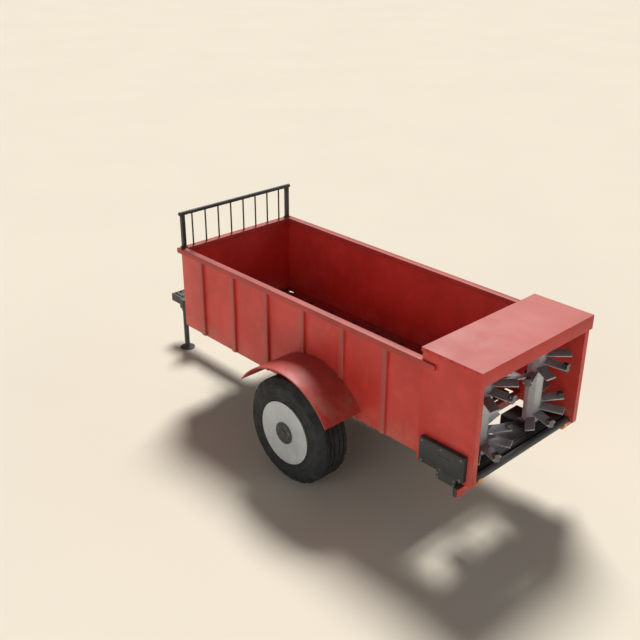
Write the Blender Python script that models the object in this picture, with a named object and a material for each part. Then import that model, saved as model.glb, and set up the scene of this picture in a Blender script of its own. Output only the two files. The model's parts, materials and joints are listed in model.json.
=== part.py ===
"""Manure spreader: single-axle, two vertical beaters, floor conveyors, parked on its jack.

Metres. +X points to the hitch, +Y to the machine's left, +Z up, ground at z = 0.
The origin is under the middle of the whole machine.
"""

import math

import bmesh
import bpy
from mathutils import Matrix, Vector

# ------------------------------------------------------------------ dimensions
GAP = 0.0003            # between pieces that touch

# load box
WALL_Y = 0.800          # outer face of the side walls
WALL_T = 0.005          # side and front sheet
BOX_X0 = -2.1350        # rear end of the side walls
BOX_X1 = 1.4460         # outer face of the front wall
WALL_Z0 = 0.858         # lower edge of the walls
RAIL_TOP = 1.816        # top of the rail
RAIL_H = 0.055
RAIL_OUT = 0.034        # rail beyond the wall's outer face
RAIL_W = 0.080
RAIL_T = 0.004
RAIL_REAR = -2.2880     # the rail runs on over the housing's side
RIB_X = 1.0310          # rear face of the first rib
RIB_STEP = -0.5540
RIB_N = 6
RIB_W = 0.070
RIB_D = 0.032
RIB_Z0 = 0.872
FLOOR_Z = (0.8625, 0.8675)
FLOOR_X = (-1.982, 1.277)   # open at both ends, where the chains turn
SILL_X = (-2.1350, -2.0780)  # rear edge of the floor, behind the turning chains
SILL_Z0 = 0.785

# beater housing
HSG_X0 = -2.7580
HSG_Z0 = 0.7935
HSG_Y = (0.7487, 0.8118)    # double-skinned side
SKIN = 0.004
HOOD_X0 = -2.7792
HOOD_X1 = -2.1272
HOOD_Y = 0.8233
HOOD_Z = 1.9367
HOOD_EDGE = 0.040       # turned-down front and side edges
HOOD_LIP_Z = 1.7946     # lower edge of the rear lip
HOOD_T = 0.005
HOOD_RETURN = 0.065     # the rear lip turns forward this far at both sides

# beaters
BEAT_X = -2.4960
BEAT_Y = 0.4105
BEAT_R = 0.305          # paddle tips
SHAFT_R = 0.082
SHAFT_T = 0.009
SHAFT_Z = (0.8760, 1.7940)
PAD_N = 16
PAD_TOP_Z = 1.743
PAD_TOP_DEG = 342.2
PAD_STEP_DEG = -38.6
PAD_STEP_Z = -0.0544
PAD_W = 0.090
PAD_T = 0.014
PAD_PITCH = 16.0
TIP_R = (0.256, 0.307)  # blocks on the ends of every other paddle
TIP_W = 0.052
TIP_H = 0.076
BED_X = (-2.6620, -2.4050)
BED_Z = (0.770, 0.860)
BED_T = 0.008
COVER_X1 = -2.2500      # gearbox covers, open below, ahead of the bed
COVER_HALF = 0.130
TOPBEAM_Z = (1.800, 1.880)
CASE_X = (-2.697, -2.200)   # chain case on the left side
CASE_Y = 0.865
CASE_Z = (0.8400, 1.0930)
TUBE_X = -2.697
TUBE_Z = 0.8077
TUBE_R = 0.034

# front guard
GUARD_X = 1.4391
GUARD_POST_Y = 0.7626
GUARD_Z = 2.2108
GUARD_TUBE_R = 0.022
GUARD_BAR_R = 0.009
GUARD_BARS = 8
GUARD_BAR_STEP = 0.1812

# running gear
AXLE_X = -0.7314
AXLE_Z = 0.565
TYRE_R = 0.565
TREAD_Y = (0.862, 1.125)
TYRE_Y = (0.812, 1.178)
SHOULDER_R = 0.505
BEAD_R = 0.3363
RIM_R = 0.336
RIM_Y = 1.186           # outer face of the disc
HUB_R = 0.117
WHEEL_SIDES = 36
FENDER_C = (-0.7829, 0.5504)
FENDER_R = 0.752        # outer face of the sheet
FENDER_T = 0.005
FENDER_Y = 1.268
FENDER_DEG = (34.5, 147.2)

# chassis
RAIL_ZC = (0.640, 0.755)
CH_RAIL_Y = (0.300, 0.380)
CH_X = (-1.950, 1.380)
DRAW_Y = 0.096
DRAW_Z = (0.5066, 0.6037)
DRAW_X = (0.400, 2.600)
TIP_X = 2.8043
DRIVE_Y = 0.200
DRIVE_Z = 0.680
DRIVE_R = 0.030

# jack
JACK_X = 2.372
JACK_Y = 0.189
JACK_R = 0.032
SLEEVE_R = (0.0335, 0.0400)
SLEEVE_Z = (0.535, 0.700)

# conveyors
CONV_X = (-2.005, 1.300)    # rear and front shaft
CONV_Z = 0.830
CONV_R = 0.054
CHAIN_T = 0.016
CHAIN_W = 0.030
CONV_SPAN = (0.050, 0.660)
CHAIN_Y = (0.110, 0.610)
SLAT_STEP = 0.370
CONV_SHAFT_R = 0.020
BEARING_Y = (0.680, 0.700)  # outer bearing plates of the conveyor shafts

RED = (0.560, 0.075, 0.055)
RED_DARK = (0.430, 0.060, 0.048)
GREY = (0.060, 0.064, 0.066)
BLACK = (0.030, 0.031, 0.032)
STEEL = (0.330, 0.350, 0.370)
PALE = (0.560, 0.570, 0.575)


# ------------------------------------------------------------------ shape tools
def material(name, colour, roughness=0.5, metallic=0.0):
    made = bpy.data.materials.new(name)
    made.use_nodes = True
    shader = made.node_tree.nodes["Principled BSDF"]
    shader.inputs["Base Color"].default_value = (*colour, 1.0)
    shader.inputs["Roughness"].default_value = roughness
    shader.inputs["Metallic"].default_value = metallic
    made.diffuse_color = (*colour, 1.0)
    return made


def box(lo, hi):
    """A closed box between two corners."""
    made = bmesh.new()
    bmesh.ops.create_cube(made, size=1.0)
    size = [b - a for a, b in zip(lo, hi)]
    mid = [(a + b) / 2 for a, b in zip(lo, hi)]
    bmesh.ops.transform(
        made, matrix=Matrix.Translation(mid) @ Matrix.Diagonal((*size, 1.0)), verts=made.verts
    )
    return made


def prism(points, axis, low, high):
    """The outline, points in the plane across the axis, drawn out from low to high.

    The plane's own axes are (Y, Z) for x, (X, Z) for y and (X, Y) for z.
    """
    place = {
        "x": lambda p, t: (t, p[0], p[1]),
        "y": lambda p, t: (p[0], t, p[1]),
        "z": lambda p, t: (p[0], p[1], t),
    }[axis]
    made = bmesh.new()
    a = [made.verts.new(place(p, low)) for p in points]
    b = [made.verts.new(place(p, high)) for p in points]
    made.faces.new(a)
    made.faces.new(b[::-1])
    for i in range(len(points)):
        j = (i + 1) % len(points)
        made.faces.new((a[i], b[i], b[j], a[j]))
    bmesh.ops.recalc_face_normals(made, faces=made.faces)
    return made


def circle(centre, radius, count, turn=0.0):
    return [
        (
            centre[0] + radius * math.cos(turn + 2 * math.pi * i / count),
            centre[1] + radius * math.sin(turn + 2 * math.pi * i / count),
        )
        for i in range(count)
    ]


def rod(axis, centre, radius, low, high, count=24, turn=0.0):
    return prism(circle(centre, radius, count, turn), axis, low, high)


def lathe(profile, centre, count, side=1.0):
    """A closed profile of (radius, y) turned about the Y axis through centre (x, z).

    A radius of 0 closes the shape on its axis. side mirrors y.
    """
    made = bmesh.new()
    rings = []
    for radius, y in profile:
        if radius == 0.0:
            rings.append([made.verts.new((centre[0], side * y, centre[1]))])
            continue
        rings.append(
            [
                made.verts.new(
                    (
                        centre[0] + radius * math.cos(2 * math.pi * i / count),
                        side * y,
                        centre[1] + radius * math.sin(2 * math.pi * i / count),
                    )
                )
                for i in range(count)
            ]
        )
    for a, b in zip(rings, rings[1:] + rings[:1]):
        if len(a) == 1 and len(b) == 1:
            continue
        for i in range(count):
            j = (i + 1) % count
            corners = [a[i % len(a)], a[j % len(a)], b[j % len(b)], b[i % len(b)]]
            face = []
            for corner in corners:
                if corner not in face:
                    face.append(corner)
            made.faces.new(face)
    bmesh.ops.recalc_face_normals(made, faces=made.faces)
    return made


def sweep(profile, path):
    """A closed profile of (offset to the left of the path, height) along a flat open path, mitred."""
    made = bmesh.new()
    rings = []
    for k, point in enumerate(path):
        here = Vector(point)
        before = (here - Vector(path[k - 1])).normalized() if k else None
        after = (Vector(path[k + 1]) - here).normalized() if k + 1 < len(path) else None
        before, after = before or after, after or before
        left = [Vector((-d.y, d.x)) for d in (before, after)]
        mitre = (left[0] + left[1]).normalized()
        mitre /= mitre.dot(left[0])
        rings.append(
            [made.verts.new((*(here + mitre * offset), height)) for offset, height in profile]
        )
    for a, b in zip(rings, rings[1:]):
        for i in range(len(profile)):
            j = (i + 1) % len(profile)
            made.faces.new((a[i], a[j], b[j], b[i]))
    made.faces.new(rings[0][::-1])
    made.faces.new(rings[-1])
    bmesh.ops.recalc_face_normals(made, faces=made.faces)
    return made


def moved(shape, matrix):
    bmesh.ops.transform(shape, matrix=matrix, verts=shape.verts)
    return shape


def mirrored(shape):
    """The shape on the other side of the machine."""
    moved(shape, Matrix.Diagonal((1.0, -1.0, 1.0, 1.0)))
    bmesh.ops.reverse_faces(shape, faces=shape.faces)
    return shape


def mesh_of(name, shapes):
    mesh = bpy.data.meshes.new(name)
    whole = bmesh.new()
    for shape in shapes:
        part = bpy.data.meshes.new("part")
        shape.to_mesh(part)
        whole.from_mesh(part)
        bpy.data.meshes.remove(part)
        shape.free()
    whole.to_mesh(mesh)
    whole.free()
    return mesh


def helper(name, shapes):
    obj = bpy.data.objects.new(name, mesh_of(name, shapes))
    bpy.context.scene.collection.objects.link(obj)
    obj.hide_render = True
    obj.display_type = "WIRE"
    return obj


def solid(name, shapes, look, cut=(), origin=(0.0, 0.0, 0.0), smooth=None, bevel=0.0):
    """One named object: the first shape, joined to the others and cut, as one closed body."""
    obj = bpy.data.objects.new(name, mesh_of(name, shapes[:1]))
    bpy.context.scene.collection.objects.link(obj)
    helpers = []
    for operation, others in (("UNION", shapes[1:]), ("DIFFERENCE", list(cut))):
        if others:
            other = helper(name + "_" + operation.lower(), others)
            helpers.append(other)
            change = obj.modifiers.new(operation.lower(), "BOOLEAN")
            change.operation = operation
            change.object = other
            change.solver = "EXACT"
            change.use_self = True
    if helpers:
        bpy.context.view_layer.update()
        graph = bpy.context.evaluated_depsgraph_get()
        mesh = bpy.data.meshes.new_from_object(obj.evaluated_get(graph))
        obj.modifiers.clear()
        old = obj.data
        obj.data = mesh
        bpy.data.meshes.remove(old)
        mesh.name = name
        for other in helpers:
            spare = other.data
            bpy.data.objects.remove(other)
            bpy.data.meshes.remove(spare)
    obj.data.transform(Matrix.Translation([-v for v in origin]))
    obj.location = origin
    obj.data.materials.clear()
    obj.data.materials.append(look)
    if bevel:
        edge = obj.modifiers.new("edges", "BEVEL")
        edge.width = bevel
        edge.segments = 1
        edge.limit_method = "ANGLE"
        edge.angle_limit = math.radians(40)
        edge.harden_normals = False
    if smooth is not None:
        obj.data.shade_smooth()
        obj.data.set_sharp_from_angle(angle=math.radians(smooth))
    return obj


def both(name, build, look, **more):
    """The same piece on the left (+Y) and, mirrored, on the right."""
    for side, suffix in ((1, "left"), (-1, "right")):
        settings = dict(more)
        shapes, cuts = build()
        if side < 0:
            shapes = [mirrored(s) for s in shapes]
            cuts = [mirrored(s) for s in cuts]
        if "origin" in settings:
            x, y, z = settings["origin"]
            settings["origin"] = (x, side * y, z)
        solid(f"{name}_{suffix}", shapes, look, cut=cuts, **settings)


# ------------------------------------------------------------------ load box
def side_wall():
    top = RAIL_TOP - RAIL_T - GAP
    shapes = [box((BOX_X0, WALL_Y - WALL_T, WALL_Z0), (BOX_X1, WALL_Y, top))]
    for i in range(RIB_N):
        x = RIB_X + i * RIB_STEP
        low = RIB_Z0
        # over the wheel a rib stops on the fender
        near = [x - FENDER_C[0], x + RIB_W - FENDER_C[0]]
        span = min(abs(near[0]), abs(near[1])) if near[0] * near[1] > 0 else 0.0
        if span < FENDER_R * math.cos(math.radians(FENDER_DEG[0])):
            low = FENDER_C[1] + math.sqrt((FENDER_R + 0.004) ** 2 - span**2)
        outline = [
            (x, WALL_Y - 0.003),
            (x + RIB_W, WALL_Y - 0.003),
            (x + RIB_W, WALL_Y + RIB_D - 0.008),
            (x + RIB_W - 0.008, WALL_Y + RIB_D),
            (x + 0.008, WALL_Y + RIB_D),
            (x, WALL_Y + RIB_D - 0.008),
        ]
        shapes.append(prism(outline, "z", low, RAIL_TOP - RAIL_H - GAP))
    return shapes, []


def front_wall():
    inner = WALL_Y - WALL_T - GAP
    top = RAIL_TOP - RAIL_T - GAP
    shapes = [box((BOX_X1 - WALL_T, -inner, WALL_Z0), (BOX_X1, inner, top))]
    for y in (-0.48, 0.0, 0.48):
        shapes.append(
            box(
                (BOX_X1 - 0.002, y - 0.03, WALL_Z0 + 0.01),
                (BOX_X1 + RIB_D - 0.002, y + 0.03, RAIL_TOP - RAIL_H - GAP),
            )
        )
    return shapes


def rail():
    low, high = RAIL_TOP - RAIL_H, RAIL_TOP
    half = RAIL_W / 2
    mid = WALL_Y + RAIL_OUT - half
    profile = [
        (-half, low),
        (-half, high),
        (half, high),
        (half, low),
        (half - RAIL_T, low),
        (half - RAIL_T, high - RAIL_T),
        (-half + RAIL_T, high - RAIL_T),
        (-half + RAIL_T, low),
    ]
    front = BOX_X1 + RAIL_OUT - half
    path = [(BOX_X0 + 0.004, mid), (front, mid), (front, -mid), (BOX_X0 + 0.004, -mid)]
    shapes = [sweep(profile, path)]
    for side in (1, -1):
        # past the wall only the outer leg and a strip of the top run on, outside the housing
        y = sorted((side * (HSG_Y[1] + GAP), side * (WALL_Y + RAIL_OUT)))
        shapes.append(box((RAIL_REAR, y[0], low), (BOX_X0 + 0.020, y[1], high)))
    # the inner part ends against the housing's front face
    return shapes


def front_guard():
    base = RAIL_TOP + GAP
    shapes = [
        rod("y", (GUARD_X, GUARD_Z), GUARD_TUBE_R, -GUARD_POST_Y - 0.044, GUARD_POST_Y + 0.044, 12)
    ]
    for side in (1, -1):
        y = side * GUARD_POST_Y
        shapes.append(box((GUARD_X - 0.0215, y - 0.0215, base), (GUARD_X + 0.0215, y + 0.0215, GUARD_Z)))
        shapes.append(box((GUARD_X - 0.034, y - 0.030, base), (GUARD_X + 0.034, y + 0.030, base + 0.008)))
    for i in range(GUARD_BARS):
        y = (i - (GUARD_BARS - 1) / 2) * GUARD_BAR_STEP
        shapes.append(rod("z", (GUARD_X, y), GUARD_BAR_R, base, GUARD_Z, 8))
    return shapes


def floor_plate():
    half = WALL_Y - WALL_T - GAP
    z0, z1 = FLOOR_Z
    x0, x1 = SILL_X
    shapes = [box((FLOOR_X[0], -half, z0), (FLOOR_X[1], half, z1))]
    for side in (1, -1):
        y = sorted((side * 0.730, side * half))
        shapes.append(box((x1 - 0.010, y[0], z0), (FLOOR_X[0] + 0.010, y[1], z1)))
        shapes.append(box((FLOOR_X[1] - 0.010, y[0], z0), (BOX_X1 - WALL_T - GAP, y[1], z1)))
    shapes.append(box((x0, -half, z0), (x1, half, z1)))
    shapes.append(box((x0, -half, SILL_Z0), (x0 + 0.008, half, z1)))
    return shapes


# ------------------------------------------------------------------ beater housing
def housing_side():
    y0, y1 = HSG_Y
    x0, x1 = HSG_X0, BOX_X0 - GAP
    top = HOOD_Z - HOOD_T - GAP
    outer = box((x0, y0, HSG_Z0), (x1, y1, top))
    # double skin, open at the top under the hood
    core = box((x0 + SKIN, y0 + SKIN, HSG_Z0 + SKIN), (x1 - SKIN, y1 - SKIN, top + 0.01))
    return [outer], [core]


def hood():
    plate = box((HOOD_X0, -HOOD_Y, HOOD_Z - HOOD_T), (HOOD_X1, HOOD_Y, HOOD_Z))
    edges = [
        box((HOOD_X0, HOOD_Y - HOOD_T, HOOD_Z - HOOD_EDGE), (HOOD_X1, HOOD_Y, HOOD_Z - 0.001)),
        box((HOOD_X0, -HOOD_Y, HOOD_Z - HOOD_EDGE), (HOOD_X1, -HOOD_Y + HOOD_T, HOOD_Z - 0.001)),
        box((HOOD_X1 - HOOD_T, -HOOD_Y, HOOD_Z - HOOD_EDGE), (HOOD_X1, HOOD_Y, HOOD_Z - 0.001)),
        box((HOOD_X0, -HOOD_Y, HOOD_LIP_Z), (HOOD_X0 + HOOD_T, HOOD_Y, HOOD_Z - 0.001)),
    ]
    for side in (1, -1):
        y = sorted((side * HOOD_Y, side * (HOOD_Y - HOOD_T)))
        edges.append(box((HOOD_X0, y[0], HOOD_LIP_Z), (HOOD_X0 + HOOD_RETURN, y[1], HOOD_Z - 0.001)))
    return [plate, *edges]


def beater(y):
    """Eight-sided tube, open below, with pitched paddles that wind down it."""
    low, high = SHAFT_Z
    shapes = [rod("z", (BEAT_X, y), SHAFT_R, low, high, 8)]
    bore = rod("z", (BEAT_X, y), SHAFT_R - SHAFT_T, low - 0.05, high - 0.020, 8)
    inner = SHAFT_R * math.cos(math.pi / 8) - 0.004
    length = BEAT_R - inner
    for i in range(PAD_N):
        blade = box((0, -PAD_W / 2, -PAD_T / 2), (length, PAD_W / 2, PAD_T / 2))
        turn = math.radians(PAD_TOP_DEG + i * PAD_STEP_DEG)
        z = PAD_TOP_Z + i * PAD_STEP_Z
        moved(
            blade,
            Matrix.Translation((BEAT_X, y, z))
            @ Matrix.Rotation(turn, 4, "Z")
            @ Matrix.Translation((inner, 0, 0))
            @ Matrix.Rotation(math.radians(PAD_PITCH), 4, "X"),
        )
        shapes.append(blade)
        if i % 2 == 0:
            tip = box((TIP_R[0], -TIP_W / 2, -TIP_H / 2), (TIP_R[1], TIP_W / 2, TIP_H / 2))
            moved(tip, Matrix.Translation((BEAT_X, y, z)) @ Matrix.Rotation(turn, 4, "Z"))
            shapes.append(tip)
    # top journal, up to its bearing under the cross-beam
    shapes.append(rod("z", (BEAT_X, y), 0.050, high - 0.002, TOPBEAM_Z[0] - 0.0005, 12))
    return shapes, [bore]


def beater_bed():
    half = HSG_Y[0] - GAP
    top = box((BED_X[0], -half, BED_Z[0]), (BED_X[1], half, BED_Z[1]))
    core = box(
        (BED_X[0] + BED_T, -half + BED_T, BED_Z[0] - 0.01),
        (BED_X[1] - BED_T, half - BED_T, BED_Z[1] - BED_T),
    )
    # the gearboxes' necks pass through the front edge
    notches = [
        box((BED_X[1] - BED_T - 0.002, y - 0.060 - GAP, BED_Z[0] - 0.01), (BED_X[1] + 0.01, y + 0.060 + GAP, 0.800 + GAP))
        for y in (-BEAT_Y, BEAT_Y)
    ]
    return [top], [core, *notches]


def side_marker():
    """Lamp under the tube, shaped to it."""
    outline = [
        (0.031, -0.004),
        (-0.043, 0.012),
        (-0.047, -0.012),
        (-0.040, -0.042),
        (-0.020, -0.060),
        (0.010, -0.060),
        (0.031, -0.042),
    ]
    points = [(TUBE_X + x, TUBE_Z + z) for x, z in outline]
    return [prism(points, "y", 0.638, 0.684)], [rod("y", (TUBE_X, TUBE_Z), TUBE_R + GAP, 0.60, 0.72, 20)]


def beater_gears():
    under = BED_Z[1] - BED_T - GAP
    shapes = [rod("y", (BEAT_X, 0.745), 0.032, -BEAT_Y, BEAT_Y, 12)]
    cuts = []
    t = 0.008
    for y in (-BEAT_Y, BEAT_Y):
        shapes.append(rod("z", (BEAT_X, y), 0.080, 0.690, under, 20))
        x0 = BED_X[1] + GAP
        low, high = (x0, y - COVER_HALF, 0.700), (COVER_X1, y + COVER_HALF, BED_Z[1])
        shapes.append(box(low, high))
        cuts.append(box((low[0] + t, low[1] + t, low[2] - 0.01), (high[0] - t, high[1] - t, high[2] - t)))
        shapes.append(box((BEAT_X + 0.050, y - 0.060, 0.740), (x0 + t / 2, y + 0.060, 0.800)))
    shapes.append(box((BEAT_X - 0.095, -0.085, 0.660), (BEAT_X + 0.080, 0.085 + DRIVE_Y, 0.835)))
    return shapes, cuts


# ------------------------------------------------------------------ running gear
def tyre():
    r, (t0, t1), (s0, s1), sh, b = TYRE_R, TREAD_Y, TYRE_Y, SHOULDER_R, BEAD_R
    profile = [
        (b, s1),
        (b, s1 - 0.028),
        (0.480, s1 - 0.028),
        (0.530, t1 - 0.014),
        (0.530, t0 + 0.014),
        (0.480, s0 + 0.028),
        (b, s0 + 0.028),
        (b, s0),
        (sh, s0),
        (r, t0),
        (r, t1),
        (sh, s1),
    ]
    return [lathe(profile, (AXLE_X, AXLE_Z), WHEEL_SIDES)], []


def rim():
    profile = [
        (0.1003, RIM_Y),
        (RIM_R, RIM_Y),
        (RIM_R, 1.1790),
        (0.322, 1.1500),
        (0.300, 1.1350),
        (0.300, 0.8500),
        (0.322, 0.8360),
        (RIM_R, 0.8110),
        (RIM_R, 0.8050),
        (0.326, 0.8050),
        (0.292, 0.8450),
        (0.292, 1.1400),
        (0.280, 1.1740),
        (0.1003, 1.1740),
    ]
    return [lathe(profile, (AXLE_X, AXLE_Z), WHEEL_SIDES)], []


def hub():
    profile = [
        (0.0, 1.2060),
        (0.095, 1.2060),
        (HUB_R, 1.1960),
        (HUB_R, RIM_Y + GAP),
        (0.0985, RIM_Y + GAP),
        (0.0985, 1.1737),
        (0.140, 1.1737),
        (0.140, 1.1550),
        (0.085, 1.1500),
        (0.085, 0.9900),
        (0.205, 0.9850),
        (0.205, 0.8500),
        (0.190, 0.8500),
        (0.190, 0.9700),
        (0.060, 0.9700),
        (0.060, 0.8300),
        (0.047, 0.8300),
        (0.047, 1.1200),
        (0.0, 1.1200),
    ]
    return [lathe(profile, (AXLE_X, AXLE_Z), 20)], []


def axle():
    half = 0.055
    shapes = [box((AXLE_X - half, -0.740, AXLE_Z - half), (AXLE_X + half, 0.740, AXLE_Z + half))]
    for side in (1, -1):
        y = sorted((side * 0.730, side * 1.114))
        shapes.append(rod("y", (AXLE_X, AXLE_Z), 0.0450, y[0], y[1], 20))
        # backing plate that closes the drum
        y = sorted((side * 0.790, side * 0.806))
        shapes.append(rod("y", (AXLE_X, AXLE_Z), 0.180, y[0], y[1], 28))
        y = sorted((side * 0.725, side * 0.795))
        shapes.append(rod("y", (AXLE_X, AXLE_Z), 0.075, y[0], y[1], 20))
    return shapes


def axle_seat():
    top = RAIL_ZC[0] - GAP
    low = AXLE_Z + 0.055 + GAP
    saddle = box((AXLE_X - 0.110, 0.285, low), (AXLE_X + 0.110, 0.395, top))
    cheek = []
    for x in (AXLE_X - 0.075, AXLE_X + 0.0555):
        cheek.append(box((x, 0.295, AXLE_Z - 0.020), (x + 0.0195, 0.385, top - 0.001)))
    return [saddle, *cheek], []


def fender():
    a0, a1 = (math.radians(a) for a in FENDER_DEG)
    steps = 14
    arc = [a0 + (a1 - a0) * i / steps for i in range(steps + 1)]
    x, z = FENDER_C
    outline = [(x + FENDER_R * math.cos(a), z + FENDER_R * math.sin(a)) for a in arc]
    inner = FENDER_R - FENDER_T
    outline += [(x + inner * math.cos(a), z + inner * math.sin(a)) for a in reversed(arc)]
    return [prism(outline, "y", WALL_Y + GAP, FENDER_Y)], []


# ------------------------------------------------------------------ chassis
def chassis():
    z0, z1 = RAIL_ZC
    y0, y1 = CH_RAIL_Y
    t = 0.008
    shapes = [box((CONV_X[0] - 0.040, -0.015, 0.700), (1.230, 0.015, FLOOR_Z[0] - GAP))]
    shapes += bearing_plates(CONV_X[0] - 0.040, -1.890, FLOOR_Z[0] - GAP)
    for side in (1, -1):
        channel = [
            (y1, z0),
            (y1, z1),
            (y0, z1),
            (y0, z1 - t),
            (y1 - t, z1 - t),
            (y1 - t, z0 + t),
            (y0, z0 + t),
            (y0, z0),
        ]
        shapes.append(prism([(side * y, z) for y, z in channel], "x", CH_X[0], CH_X[1]))
    # cross-members: middle x, underside
    for x, low in (
        (1.300, DRAW_Z[1] + GAP),
        (0.500, DRAW_Z[1] + GAP),
        (-0.300, 0.6480),
        (-1.150, 0.6480),
        (-1.900, 0.6480),
    ):
        web = 0.010
        shapes.append(box((x - web / 2, -(y1 - 0.002), low), (x + web / 2, y1 - 0.002, 0.745)))
        shapes.append(box((x - 0.040, -(y1 - 0.003), low), (x + 0.040, y1 - 0.003, low + 0.010)))
    # floor bearers on the keel plate, above the returning chains
    top = FLOOR_Z[0] - GAP
    for x in (1.180, 0.640, 0.100, -0.440, -0.980, -1.520, -1.900):
        angle = [
            (x - 0.025, top),
            (x - 0.025, top - 0.007),
            (x - 0.004, top - 0.007),
            (x - 0.004, 0.822),
            (x + 0.004, 0.822),
            (x + 0.004, top - 0.007),
            (x + 0.025, top - 0.007),
            (x + 0.025, top),
        ]
        shapes.append(prism(angle, "y", -0.745, 0.745))
    hole = rod("x", (DRIVE_Y, DRIVE_Z), 0.040, CH_X[0] - 0.1, CH_X[1] + 0.1, 16)
    return shapes, [hole, bearing_bore(CONV_X[0])]


def bearing_plates(x0, x1, top):
    """Two plates outside the chains, each with a bearing hole for a conveyor shaft."""
    return [
        box((x0, y0, 0.798), (x1, y1, top))
        for y0, y1 in (BEARING_Y, (-BEARING_Y[1], -BEARING_Y[0]))
    ]


def bearing_bore(x):
    return rod("y", (x, CONV_Z), CONV_SHAFT_R + GAP, -WALL_Y, WALL_Y, 12)


def front_beam():
    x0, x1 = CH_X[1] + GAP, BOX_X1 - WALL_T - GAP
    top = FLOOR_Z[0] - GAP
    shapes = [box((x0, -0.745, 0.826), (x1, 0.745, top))]
    shapes.append(box((x0, -0.400, 0.650), (x0 + 0.012, 0.400, 0.840)))
    shapes.append(box((CONV_X[1] - 0.040, -0.015, 0.780), (x0 + 0.020, 0.015, top)))
    shapes += bearing_plates(CONV_X[1] - 0.040, x0 + 0.020, top)
    hole = rod("x", (DRIVE_Y, DRIVE_Z), 0.040, x0 - 0.1, x1 + 0.1, 16)
    return shapes, [hole, bearing_bore(CONV_X[1])]


def drawbar():
    z0, z1 = DRAW_Z
    x0, x1 = DRAW_X
    t = 0.008
    body = box((x0, -DRAW_Y, z0), (x1, DRAW_Y, z1))
    core = box((x0 - 0.01, -DRAW_Y + t, z0 + t), (x1 - t, DRAW_Y - t, z1 - t))
    return [body], [core]


def tow_block():
    z0, z1 = DRAW_Z
    x0 = DRAW_X[1] + GAP
    outline = [
        (x0, -DRAW_Y),
        (TIP_X, -DRAW_Y),
        (TIP_X, DRAW_Y),
        (x0, DRAW_Y),
    ]
    shapes = [prism(outline, "z", z0, z1)]
    shapes.append(box((x0 + 0.010, -0.078, z1 - 0.002), (TIP_X - 0.030, 0.060, z1 + 0.012)))
    hole = rod("z", (2.735, 0.0), 0.026, z0 - 0.05, z1 + 0.05, 20)
    return shapes, [hole]


def jack_sleeve():
    z0, z1 = SLEEVE_Z
    at = (JACK_X, JACK_Y)
    shapes = [rod("z", at, SLEEVE_R[1], z0, z1 - 0.002, 20)]
    shapes.append(
        prism(
            [
                (JACK_X - 0.062, DRAW_Y + GAP),
                (JACK_X + 0.062, DRAW_Y + GAP),
                (JACK_X + 0.062, JACK_Y + 0.020),
                (JACK_X + 0.032, JACK_Y + 0.052),
                (JACK_X - 0.032, JACK_Y + 0.052),
                (JACK_X - 0.062, JACK_Y + 0.020),
            ],
            "z",
            0.575,
            z1,
        )
    )
    bore = rod("z", at, SLEEVE_R[0], z0 - 0.05, z1 - 0.008, 20)
    return shapes, [bore]


def jack_leg():
    at = (JACK_X, JACK_Y)
    shapes = [rod("z", at, JACK_R, 0.025, 0.600, 20)]
    shapes.append(moved(lathe([(0.0, 0.0), (0.095, 0.0), (0.095, 0.010), (0.050, 0.034), (0.0, 0.034)], (0.0, 0.0), 24),
                        Matrix.Translation((JACK_X, JACK_Y, 0.0)) @ Matrix.Rotation(math.radians(90), 4, "X")))
    return shapes


# ------------------------------------------------------------------ conveyors
def stadium(x0, x1, z, radius, steps=6):
    points = [
        (x1 + radius * math.cos(a), z + radius * math.sin(a))
        for a in (math.pi / 2 - math.pi * i / steps for i in range(steps + 1))
    ]
    points += [
        (x0 + radius * math.cos(a), z + radius * math.sin(a))
        for a in (-math.pi / 2 - math.pi * i / steps for i in range(steps + 1))
    ]
    return points


def conveyor():
    """Two chain bands and the slats across them, upper and returning run."""
    x0, x1 = CONV_X
    shapes, cuts = [], []
    for y in CHAIN_Y:
        band = prism(stadium(x0, x1, CONV_Z, CONV_R), "y", y - CHAIN_W / 2, y + CHAIN_W / 2)
        shapes.append(band)
        cuts.append(
            prism(stadium(x0, x1, CONV_Z, CONV_R - CHAIN_T), "y", y - CHAIN_W / 2 - 0.01, y + CHAIN_W / 2 + 0.01)
        )
    count = int((x1 - x0) / SLAT_STEP) + 1
    first = x1 - 0.06
    for i in range(count):
        x = first - i * SLAT_STEP
        shapes.append(box((x - 0.02, CONV_SPAN[0], 0.8695), (x + 0.02, CONV_SPAN[1], 0.8990)))
        x = first - 0.12 - i * SLAT_STEP
        if x > x0:
            shapes.append(box((x - 0.02, CONV_SPAN[0], 0.7610), (x + 0.02, CONV_SPAN[1], 0.7905)))
    return shapes, cuts


def conveyor_shaft(x):
    half = BEARING_Y[1] + 0.010
    shapes = [rod("y", (x, CONV_Z), CONV_SHAFT_R, -half, half, 12)]
    for y in CHAIN_Y:
        for side in (1, -1):
            shapes.append(
                rod("y", (x, CONV_Z), CONV_R - CHAIN_T - 0.0006, side * y - 0.014, side * y + 0.014, 12)
            )
    return shapes


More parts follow.
